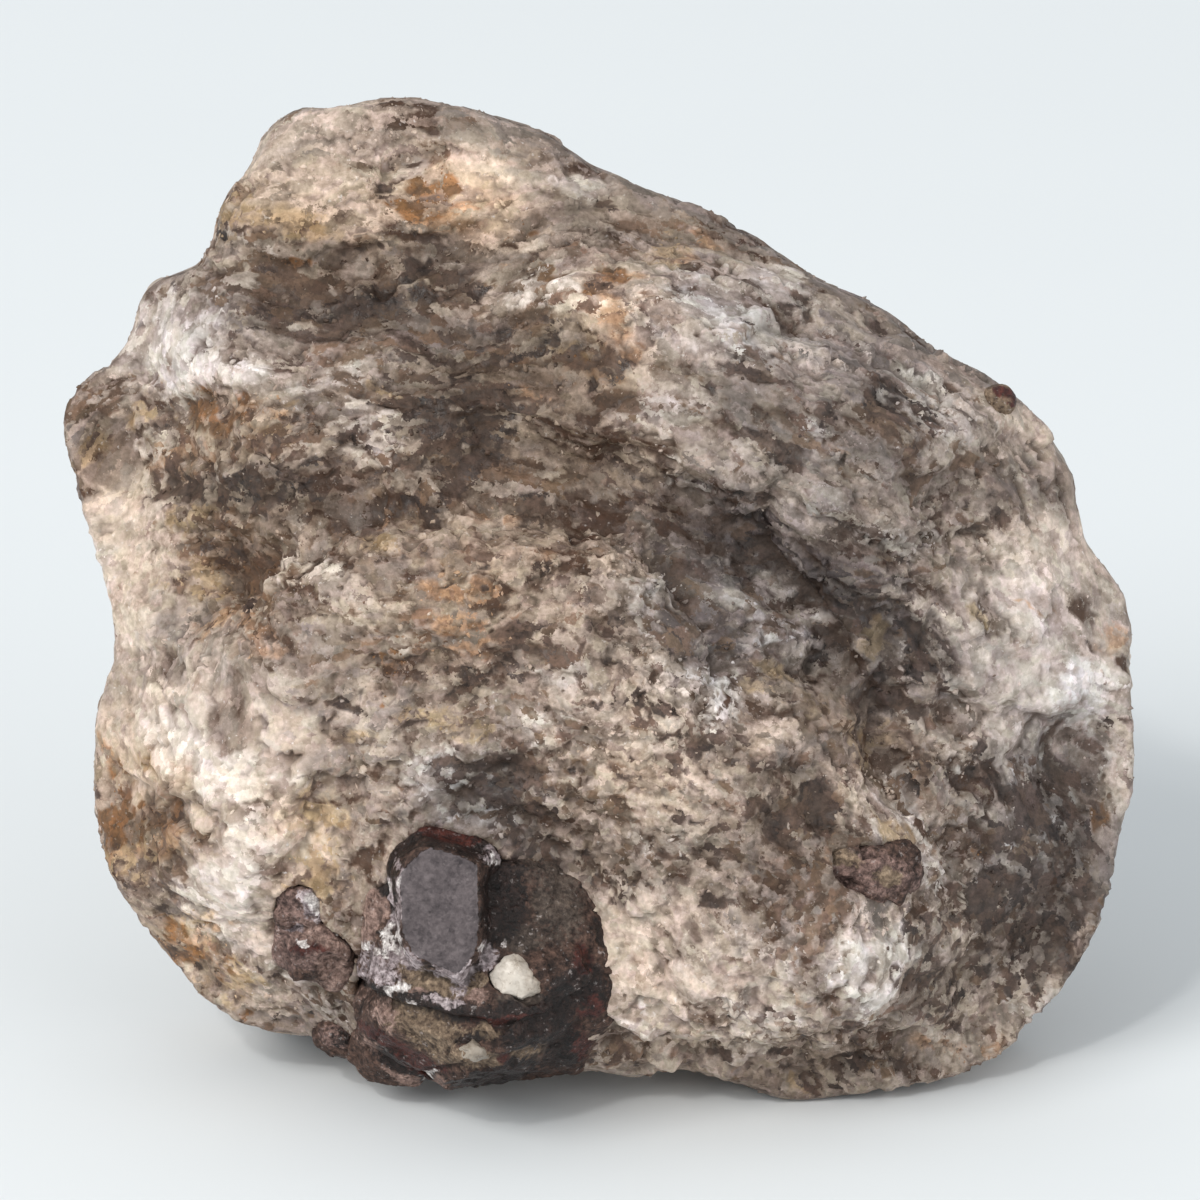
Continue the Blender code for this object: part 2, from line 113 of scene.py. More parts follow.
# %% Camera
EYE_DISTANCE = 500.0
PICTURE_WIDTH = 90.0
camera_data = bpy.data.cameras.new("camera")
camera_data.sensor_width = 36.0
camera_data.lens = camera_data.sensor_width * EYE_DISTANCE / PICTURE_WIDTH
camera_data.clip_start = 0.001
camera = bpy.data.objects.new("camera", camera_data)
bpy.context.scene.collection.objects.link(camera)
camera.location = to_world(np.array([0.0, 0.0, EYE_DISTANCE]))
camera.rotation_euler = Vector(-OUT_OF_FACE).to_track_quat("-Z", "Y").to_euler()
bpy.context.scene.camera = camera
print("lens", round(camera_data.lens, 1), "mm")

# %% [markdown]
# ## Floor and light
#
# A pale floor runs out of sight on every side. One broad soft light stands high on the left, a weak one
# fills in from the right, and the pale surroundings lift the shadows, because a stone with this much
# grain in it looks harsh under a small lamp.

# %% Floor and light
FLOOR_RADIUS = 3.0


def add_light(name, place, size, power, colour):
    """A square soft light that faces the specimen."""
    data = bpy.data.lights.new(name, "AREA")
    data.shape = "SQUARE"
    data.size = size
    data.energy = power
    data.color = colour
    light = bpy.data.objects.new(name, data)
    bpy.context.scene.collection.objects.link(light)
    light.location = place
    aim = Vector(FACE_CENTRE * MM) - Vector(place)
    light.rotation_euler = aim.to_track_quat("-Z", "Y").to_euler()
    return light


add_light("key_light", (-1.45, -1.45, 1.60), 1.3, 40.0, (1.0, 0.98, 0.95))
add_light("spark_light", (-0.70, -1.50, 1.60), 0.14, 8.0, (1.0, 0.98, 0.95))
add_light("fill_light", (1.70, -1.60, 0.80), 1.80, 16.0, (1.0, 0.985, 0.97))
world = bpy.data.worlds.new("surroundings")
world.use_nodes = True
world.node_tree.nodes["Background"].inputs["Color"].default_value = (0.90, 0.94, 0.97, 1.0)
world.node_tree.nodes["Background"].inputs["Strength"].default_value = 0.68
bpy.context.scene.world = world
bpy.context.scene.view_settings.view_transform = "Standard"
bpy.ops.mesh.primitive_circle_add(vertices=96, radius=FLOOR_RADIUS, fill_type="NGON")
floor = bpy.context.object
floor.name = "floor"

# %% [markdown]
# ## Noise and cells
#
# Broken rock has two kinds of unevenness. Slow, rolling changes come from noise: random heights on a
# lattice with smooth blends between them. Flat little breaks come from cells: each cell round a random
# seed point has a tilt of its own. Both are worked out for all points at once.

# %% Noise and cells for many points
def scatter_bits(cells, seed):
    """A repeatable random number from 0 to 1 for each whole-numbered cell."""
    x, y, z = (cells[..., axis].astype(np.int64) & 0xFFFFFFFF for axis in range(3))
    mixed = (x * 73856093) ^ (y * 19349663) ^ (z * 83492791) ^ (seed * 2654435761)
    mixed &= 0xFFFFFFFF
    mixed = ((mixed ^ (mixed >> 15)) * 2246822519) & 0xFFFFFFFF
    mixed = ((mixed ^ (mixed >> 13)) * 3266489917) & 0xFFFFFFFF
    return ((mixed ^ (mixed >> 16)) & 0xFFFFFFFF) / 4294967295.0


def soft_noise(points, seed):
    """Smooth noise from -1 to 1, with features about one unit long."""
    low = np.floor(points)
    share = points - low
    share = share * share * (3.0 - 2.0 * share)
    total = np.zeros(len(points))
    for corner in np.ndindex(2, 2, 2):
        weight = np.prod(np.where(corner, share, 1.0 - share), axis=1)
        total += weight * scatter_bits(low + corner, seed)
    return total * 2.0 - 1.0


def layered_noise(points, seed, layers=4, fade=0.55):
    """Noise with finer and weaker noise on it, from about -1 to 1."""
    total = np.zeros(len(points))
    strength = 1.0
    reach = 0.0
    for layer in range(layers):
        total += strength * soft_noise(points * 2.03 ** layer + layer * 17.3, seed + layer)
        reach += strength
        strength *= fade
    return total / reach * 1.6


def tilted_cells(points, seed):
    """For each point: the height of its cell's tilted face, how far it is from the cell's edge, and
    the cell's own three random tones."""
    home = np.floor(points)
    nearest = np.full(len(points), 9.0)
    second = np.full(len(points), 9.0)
    height = np.zeros(len(points))
    tones = np.zeros((len(points), 3))
    for step in np.ndindex(3, 3, 3):
        cell = home + np.array(step) - 1.0
        bits = [scatter_bits(cell, seed + number) for number in range(6)]
        offset = points - (cell + np.stack(bits[:3], axis=1))
        distance = np.linalg.norm(offset, axis=1)
        tilt = np.stack(bits[3:], axis=1) * 2.0 - 1.0
        face = np.sum(offset * tilt, axis=1) * 0.9 + tilt[:, 0] * 0.45
        closer = distance < nearest
        second = np.where(closer, nearest, np.minimum(second, distance))
        nearest = np.where(closer, distance, nearest)
        height = np.where(closer, face, height)
        tones = np.where(closer[:, None], np.stack(bits[3:], axis=1), tones)
    return height, second - nearest, tones


def smooth_step(low, high, values):
    """From 0 below the low value to 1 above the high one, with soft ends."""
    share = np.clip((values - low) / (high - low), 0.0, 1.0)
    return share * share * (3.0 - 2.0 * share)


print("noise at three points:", np.round(soft_noise(np.eye(3) * 2.4, 1), 2))

# %% [markdown]
# ## The rock's banding
#
# When this rock was squeezed, its bands flowed round the big garnet. So the noise isn't laid on straight
# axes: one coordinate runs along the bands, in arcs about a point below the garnet, and the other runs
# across them. Noise that is stretched along the first comes out as streaks that bend round the crystal.

# %% Coordinates along and across the bands
BAND_CENTRE = (-12.0, -46.0)
BAND_LENGTH = 44.0  # how far from that centre a step along the band has its true length
BAND_WAVER = 1.6


def band_places(face):
    """Where points lie along the bands, across them and through the rock, in millimetres."""
    u, v, w = face.T
    u = u + BAND_WAVER * layered_noise(face * 0.10, 301, 2)
    v = v + BAND_WAVER * layered_noise(face * 0.10, 311, 2)
    along = np.arctan2(u - BAND_CENTRE[0], v - BAND_CENTRE[1]) * BAND_LENGTH
    across = np.hypot(u - BAND_CENTRE[0], v - BAND_CENTRE[1]) + 0.35 * w
    return np.stack([along, across, w], axis=1)


print("the bands turn about", BAND_CENTRE)

# %% [markdown]
# ## Where each mineral shows
#
# The look of the face is mostly a question of which mineral shows where. Each mark below is a soft
# ellipse in the face's frame, in millimetres: the centre's u and v, half its length, half its width, its
# turn in degrees and its strength. The last two may be left out. A mark doesn't paint a colour: it sets how
# likely a grain there is to be of that mineral, and the finish decides grain by grain. Five more lists
# work in the same way on broader parts: where the rock is paler, darker, warmer or cooler, and where it
# is massive, which means solid and smoothly broken, with fewer grains and shallower breaks. The darker
# parts include painted shade in the crevices.

# %% Marks of each mineral on the face
WHITE = [  # clean, bright feldspar
    (-14.1, 32.2, 1.0, 0.9), (-2.4, 23.2, 0.7, 1.4), (-22.6, 15.6, 1.8, 0.6, 40),
    (-26.5, 9.4, 1.2, 0.5, 10), (35.2, -16.0, 2.4, 0.3, 70), (33.0, -12.4, 1.2, 0.4, 35),
    (31.6, -17.0, 1.6, 0.3, 55), (37.4, -12.6, 1.4, 0.5, 60), (29.2, -19.6, 1.6, 0.4, 65),
    (9.2, -7.2, 1.3, 2.1, -15), (10.8, -0.6, 1.1, 0.5), (5.0, 0.8, 1.4, 0.6, 20), (-7.6, -12.3, 0.6, 0.7),
    (-11.3, -12.9, 0.6, 1.2, -20), (-10.3, -14.6, 0.5, 0.9, 30), (-6.4, -15.9, 1.0, 0.4, 20),
    (-14.5, 32.5, 1.2, 1.0), (-27.0, 26.8, 1.3, 0.5), (-25.5, 26.2, 1.0, 0.5), (-11.5, 25.6, 0.6, 0.6),
    (-3.8, 23.8, 1.5, 1.2), (-2.5, 22.5, 1.0, 0.8), (-31.0, 20.0, 3.5, 4.0, 0, 0.75),
    (-30.0, 16.8, 3.0, 1.2), (-27.5, 17.0, 1.5, 0.6), (-33.0, 21.0, 1.0, 1.0), (-18.5, 17.0, 1.0, 0.8),
    (-31.0, 14.0, 0.5, 1.2), (-34.0, 12.0, 1.2, 1.0), (-37.5, 3.0, 1.0, 1.5), (-22.5, 3.0, 1.5, 1.0),
    (-24.0, 1.5, 1.0, 0.8), (-21.0, 1.5, 1.0, 1.0), (-17.5, 12.5, 1.7, 0.6, 40),
    (-16.7, 12.2, 0.8, 0.5, 40), (-18.8, 14.2, 1.0, 0.6, 40), (-17.9, 11.0, 0.6, 0.6),
    (-15.8, 13.3, 0.6, 0.6), (-7.0, 14.0, 0.6, 0.5), (-1.0, 31.0, 1.5, 0.8), (0.0, 22.0, 1.5, 1.2),
    (8.5, 21.3, 3.0, 2.5, -20, 0.65), (14.0, 23.0, 2.5, 0.8, -20, 0.6), (23.5, 16.3, 1.5, 0.8),
    (25.5, 14.2, 2.5, 0.7, -30), (16.5, 12.8, 1.0, 0.6), (4.0, 13.3, 2.0, 1.4, 0, 0.9),
    (6.0, 9.8, 0.6, 0.5), (22.5, 4.5, 2.0, 0.8), (16.2, 7.5, 1.0, 0.8, 0, 0.7), (3.5, 1.3, 1.5, 0.6),
    (-28.3, -13.0, 1.8, 1.5), (-22.0, -13.3, 1.5, 0.4), (-3.0, -5.0, 1.0, 0.8), (-4.0, -9.5, 1.0, 0.8),
    (-14.5, -4.0, 0.8, 0.6), (-9.4, -12.7, 0.4, 0.8), (-13.5, -14.0, 0.8, 1.0), (-13.0, -12.3, 0.7, 0.6),
    (-7.5, -16.5, 1.5, 0.8), (-37.3, -16.5, 0.4, 1.0), (-22.0, -28.0, 1.5, 0.3, -35),
    (-20.0, -31.0, 1.5, 0.4, -45), (-27.5, -20.0, 5.0, 2.4, 75, 0.7), (4.0, -1.5, 1.0, 1.0),
    (11.3, 0.0, 0.5, 0.5), (13.0, -2.5, 1.5, 0.4, -30), (8.8, -6.0, 1.2, 1.5), (8.7, -8.8, 1.5, 1.2),
    (5.0, -18.5, 1.0, 1.0), (20.7, -18.3, 0.9, 1.1), (22.3, -14.7, 1.2, 0.6, -65),
    (23.2, -16.5, 1.0, 0.5, -65), (24.5, -18.8, 1.2, 0.6, -65), (25.5, -21.0, 1.5, 0.8, -65),
    (-7.2, -16.7, 1.2, 0.5, 10), (-7.2, -15.2, 0.6, 0.5), (-10.8, -16.3, 1.0, 0.3, -35),
    (19.5, -28.5, 1.6, 1.5), (20.5, -30.0, 1.0, 1.0), (22.0, -26.0, 1.0, 1.0), (23.5, -20.5, 1.5, 1.0),
    (30.5, -12.8, 0.8, 0.3), (36.0, -6.5, 2.0, 1.5), (32.5, -30.5, 1.5, 1.0), (11.5, -31.8, 2.0, 1.5),
    (12.0, -34.0, 1.5, 0.8), (3.0, -30.8, 0.8, 0.8), (-32.0, -11.0, 3.0, 2.4, 0, 0.6),
]
CREAM = [  # sugary feldspar with a breath of iron in it
    (30.2, -14.6, 1.8, 0.5, 20), (27.6, -22.0, 2.4, 0.6, 65), (36.8, -25.0, 1.4, 0.4, 50),
    (-18.0, 33.0, 8.0, 4.0), (-8.2, 31.0, 2.0, 2.2), (-17.0, 26.8, 0.9, 0.8), (-5.0, 27.0, 3.0, 0.6),
    (-8.5, 23.5, 1.3, 1.6), (-36.0, 17.0, 0.8, 0.8), (-26.8, 14.2, 0.7, 0.7), (-35.0, 8.0, 2.0, 1.0),
    (-34.0, 4.5, 4.0, 4.0), (-25.0, 8.0, 1.0, 0.6), (-5.0, 13.5, 1.0, 0.7), (-7.0, 2.2, 0.8, 0.6),
    (2.0, 28.5, 1.5, 0.8), (4.0, 20.0, 1.5, 4.0), (13.5, 19.0, 1.0, 0.8), (15.5, 18.6, 0.8, 0.8),
    (18.5, 10.2, 1.5, 0.5), (1.5, 3.0, 2.5, 1.5), (14.0, 8.0, 2.0, 1.0), (16.0, 5.5, 1.5, 1.0),
    (21.5, 7.2, 1.3, 0.8), (31.5, 12.0, 2.0, 2.0), (33.0, 2.5, 4.0, 2.5), (36.0, 6.2, 0.8, 0.8),
    (-33.0, -11.0, 3.3, 2.8), (-24.0, -17.0, 2.0, 1.5), (4.0, -9.0, 5.0, 7.0, 0, 0.8),
    (3.5, -15.5, 3.0, 1.0), (8.5, -13.5, 1.5, 1.0), (13.0, -9.5, 1.8, 1.2), (14.5, -8.7, 1.0, 0.8),
    (27.0, -12.0, 1.5, 1.0), (20.0, -14.5, 1.2, 1.5), (1.5, -27.5, 2.5, 3.5), (6.5, -23.0, 2.0, 1.0),
    (5.0, -29.5, 1.5, 1.0), (21.0, -24.3, 2.5, 2.0), (29.5, -8.5, 2.0, 1.5), (33.0, -4.0, 4.0, 3.0),
    (39.0, -14.0, 0.8, 2.5), (31.5, -29.5, 1.0, 0.8), (30.0, -31.0, 1.0, 0.8), (35.5, -21.5, 1.0, 0.6),
    (25.0, -1.5, 2.5, 1.0, -30), (-33.0, -7.2, 3.5, 0.5, 30), (-25.0, -30.0, 2.0, 0.8, -15),
    (-28.0, -23.0, 4.0, 2.0, 70, 0.7), (-36.0, -1.0, 1.5, 2.5), (-29.0, 31.0, 3.0, 3.0),
    (8.0, -18.0, 4.0, 2.0, -35, 0.6),
]
YELLOW = [  # cream turning to olive where the iron is heavier
    (-30.5, 3.6, 1.6, 1.6, 0, 0.7), (-9.0, 30.8, 1.4, 1.6, 0, 0.6), (-25.0, 12.8, 1.6, 0.8, 0, 0.8),
    (-34.8, -13.2, 1.4, 1.2), (-35.2, -18.6, 1.4, 1.2), (-30.4, -24.6, 1.2, 1.6, 30),
    (-27.0, 28.0, 3.0, 1.8, 0, 0.8), (-20.5, -15.5, 1.6, 2.2, 0, 0.7), (-22.5, 28.5, 2.0, 1.2),
    (-26.3, 28.7, 1.0, 1.0), (-16.0, 16.0, 1.0, 0.8), (-31.0, 6.5, 1.5, 0.8), (-30.5, 1.5, 2.0, 1.2),
    (-17.5, 4.8, 2.0, 0.8), (-34.0, 14.0, 1.5, 0.6), (-3.0, 18.5, 1.0, 0.8), (4.0, 27.3, 1.0, 0.5),
    (4.3, 26.0, 2.0, 0.8), (-21.5, -18.5, 1.8, 2.0), (-20.0, -21.0, 1.2, 1.5), (-11.5, -9.5, 2.5, 1.5),
    (-17.5, -10.3, 2.0, 0.6), (-35.5, -19.8, 1.5, 1.0), (-29.5, -23.5, 1.0, 1.0), (-28.0, -28.5, 1.3, 1.2),
    (13.0, -6.0, 2.0, 1.0), (19.5, -10.5, 2.0, 1.5, -35, 0.7), (27.3, -1.0, 0.5, 1.0),
    (22.7, -18.2, 1.2, 1.0), (15.0, -37.0, 1.5, 0.5), (20.0, -2.5, 1.5, 0.5), (19.5, -3.8, 1.5, 1.0),
    (-38.0, 11.5, 1.5, 1.2),
]
ORANGE = [  # feldspar stained orange and tan
    (-10.5, -1.0, 3.0, 1.6, -20, 0.5), (-29.0, 2.0, 1.8, 2.4, 0, 0.6), (-28.0, 13.4, 1.6, 0.8, 0, 0.9),
    (-31.0, 11.2, 2.2, 0.8, 0, 0.9), (-10.6, 28.8, 1.6, 1.0), (-37.4, -11.4, 1.0, 1.4),
    (-33.2, -17.8, 1.6, 1.0, 30), (-36.0, -19.0, 1.2, 1.0), (-32.6, -23.0, 0.8, 1.2),
    (-13.0, 28.2, 1.5, 0.6), (-24.5, 14.2, 1.2, 0.6), (1.5, 23.5, 1.0, 0.6), (1.8, 21.2, 1.5, 1.5),
    (2.0, 17.8, 0.8, 0.8), (-9.0, 6.2, 2.5, 0.7), (-6.5, 6.2, 1.0, 0.6), (-15.5, 6.3, 1.0, 0.6),
    (-5.5, 16.0, 1.2, 0.8), (-7.0, 24.5, 0.9, 0.9), (6.5, 26.5, 1.2, 1.0), (-10.0, 0.5, 4.0, 1.0),
    (-9.0, -1.3, 3.0, 0.6), (-10.0, -3.5, 3.0, 1.0, 0, 0.8), (-4.5, 3.0, 2.0, 1.5, 0, 0.5),
    (-27.5, -1.5, 3.0, 1.2, 0, 0.8), (-25.5, -4.0, 1.5, 1.2, 0, 0.8), (-31.5, -25.5, 1.5, 0.8, -35),
    (-29.0, -26.0, 1.0, 0.8), (17.3, -18.0, 1.5, 1.0), (38.0, -3.0, 1.0, 2.0), (32.8, -0.8, 1.5, 0.3, -40),
    (15.0, -29.5, 0.8, 0.8), (28.0, -33.5, 2.5, 0.7), (26.0, -32.5, 1.5, 0.8), (-32.0, 10.7, 2.5, 0.8),
]
RUST = [  # crusts of iron oxide in hollows
    (-11.2, 31.3, 0.8, 1.7), (-13.2, 29.6, 1.5, 0.8), (-26.0, 1.5, 1.4, 2.2, 0, 0.6),
    (0.2, 24.4, 0.9, 0.4), (-29.6, 14.6, 1.0, 0.6), (-36.2, -13.2, 1.5, 1.8, 0, 0.9),
    (-34.6, -16.0, 1.4, 1.6, 0, 0.8), (-37.2, -17.5, 1.0, 1.6), (-31.6, -25.0, 1.0, 2.2, 40),
    (-30.0, -27.6, 1.8, 0.7, -40, 0.8), (-13.0, 31.0, 1.8, 2.5), (-13.0, 29.7, 1.0, 0.7),
    (-5.3, 28.5, 0.8, 0.8), (-23.2, 25.2, 1.8, 0.4), (-4.5, 25.3, 1.0, 0.5),
    (-28.5, 13.5, 2.2, 1.2, 0, 0.8), (-9.0, 13.8, 0.4, 0.4), (-9.8, 15.0, 0.4, 0.4), (2.7, 19.0, 0.7, 0.6),
    (1.3, 19.3, 0.6, 0.6), (0.0, 24.3, 1.0, 0.8), (-3.0, 17.7, 1.5, 0.8, 0, 0.7),
    (0.0, 17.0, 1.5, 1.0, 0, 0.7), (-28.5, 2.7, 1.0, 0.6), (-15.0, -5.0, 0.8, 1.5),
    (-16.0, -7.5, 0.4, 0.8), (-35.0, -15.5, 2.5, 1.2, -35), (-37.0, -13.0, 0.8, 1.2),
    (-36.0, -17.5, 1.5, 0.6), (-27.5, -31.0, 0.8, 0.8), (29.0, -18.7, 0.6, 0.6), (38.0, -16.0, 0.6, 1.5),
]
BROWN = [  # weathered mica and stained quartz
    (-12.0, 33.5, 1.5, 0.8), (-18.0, 33.5, 2.0, 0.6, 0, 0.6), (-24.0, 23.0, 5.0, 2.5, -5, 0.9),
    (-38.0, 15.0, 2.0, 2.0, 0, 0.7), (-24.5, 12.0, 1.5, 1.0), (-22.0, 13.0, 1.5, 1.0),
    (-29.0, 5.0, 1.0, 0.6), (-27.0, 1.5, 2.0, 2.0), (-5.0, 19.5, 2.0, 1.5), (0.5, 26.8, 1.5, 0.5),
    (-0.5, 19.0, 1.5, 1.0), (1.0, 14.5, 2.0, 1.0), (21.5, 13.5, 2.0, 0.8, -20), (28.0, 10.0, 1.0, 1.0),
    (24.0, 10.5, 1.0, 0.8), (-13.0, -2.7, 1.0, 0.6), (-14.5, -1.8, 1.5, 1.5, 0, 0.8),
    (-35.0, -5.5, 2.0, 1.5, 0, 0.6), (-32.0, -17.0, 2.0, 0.6, -25), (-33.5, -16.5, 1.0, 0.5),
    (-19.0, -28.5, 1.5, 1.5), (16.5, -23.5, 1.5, 1.5), (15.5, -25.0, 1.0, 0.8), (30.0, -18.0, 1.0, 0.8),
    (1.5, -34.0, 1.5, 0.6), (24.0, -35.5, 2.0, 0.6), (-32.0, -19.5, 1.5, 1.5, 0, 0.7),
    (14.0, -22.0, 3.0, 4.0, 0, 0.55), (-21.2, -2.8, 0.4, 0.4), (-14.0, 22.5, 4.5, 2.2, 0, 0.75),
    (27.5, -6.0, 2.0, 1.5, 0, 0.6), (-8.0, 9.5, 6.0, 1.6, 0, 0.7),
]
GREY = [  # clear and smoky quartz
    (32.5, -20.5, 2.2, 0.45, 60), (30.5, -23.5, 2.0, 0.4, 60), (36.2, -22.0, 2.5, 0.4, 75),
    (34.2, -26.0, 1.8, 0.5, 40), (-6.0, 34.5, 5.0, 1.5, -20), (2.0, 31.3, 4.0, 1.5, -25),
    (9.0, 28.3, 4.0, 1.5, -25), (16.0, 24.5, 4.0, 1.5, -33), (22.0, 20.3, 3.5, 1.5, -38),
    (29.0, 16.0, 4.0, 1.0, -35), (-32.5, 21.0, 1.0, 1.2), (-27.0, 20.5, 1.0, 0.6),
    (-14.0, 20.0, 2.0, 1.0, 0, 0.8), (-10.5, 19.5, 1.0, 0.8), (-11.5, 3.0, 4.0, 1.5, 0, 0.8),
    (7.5, 24.5, 1.5, 0.7), (19.0, 19.0, 4.0, 3.0, -35), (18.5, 11.5, 3.5, 1.5), (9.5, 14.0, 1.5, 0.8),
    (9.5, 8.2, 3.0, 1.4, -10, 0.8), (33.3, 8.5, 2.0, 1.6), (19.0, 2.0, 2.5, 1.5), (-32.5, -2.4, 2.5, 0.5),
    (-32.5, -3.8, 2.5, 0.5), (-31.0, -1.0, 2.0, 1.0), (-20.0, -9.0, 6.0, 5.0, -10, 0.9),
    (-8.0, -8.5, 1.5, 1.0), (-24.0, -31.5, 2.5, 0.7), (18.0, -1.0, 2.0, 1.0), (18.5, -7.0, 1.5, 0.8),
    (16.0, -8.0, 1.2, 0.8), (9.5, -11.0, 1.8, 1.5), (15.0, -11.0, 2.0, 1.5), (24.0, -14.0, 2.0, 1.5),
    (12.5, -20.0, 1.5, 1.0), (14.5, -21.5, 1.2, 1.0), (13.5, -23.5, 2.0, 1.5), (33.5, -9.5, 1.5, 1.0),
    (36.9, -11.0, 1.6, 1.3), (32.9, -10.6, 0.5, 1.5, -10), (32.5, -13.0, 1.5, 1.0),
    (-20.5, 14.0, 3.0, 2.0, 20, 0.5), (22.0, -24.0, 5.0, 2.0, -60, 0.5),
]
SMOKY = [  # dark, purplish quartz and fine mica mixed
    (13.0, 4.6, 4.0, 1.4, -33), (18.0, 0.4, 3.6, 1.5, -38), (22.5, -2.4, 3.6, 1.1, -25),
    (21.6, -7.6, 1.4, 2.6, -10), (8.5, -1.5, 3.0, 1.5, -10), (10.5, -3.5, 2.5, 1.2, -20),
    (2.5, 8.5, 2.5, 0.8, -15), (3.7, 4.8, 3.0, 0.6, -20), (8.0, 6.0, 1.0, 0.6), (9.5, 4.5, 2.0, 0.7, -25),
    (12.5, 4.0, 3.0, 1.2, -35), (15.0, 1.5, 2.5, 1.4, -40), (9.0, 2.0, 1.8, 1.2), (7.0, 1.5, 1.2, 0.9),
    (-5.0, -20.0, 3.0, 3.0), (-32.0, -23.0, 2.5, 1.2, -25), (22.0, 1.0, 1.8, 0.6, -30),
    (5.5, 7.0, 4.0, 1.8, -20, 0.6), (19.0, -1.5, 3.5, 2.0, -45, 0.55), (33.0, -24.0, 3.0, 4.0, -20, 0.5),
    (34.5, -15.0, 3.2, 4.0, 0, 0.6),
]
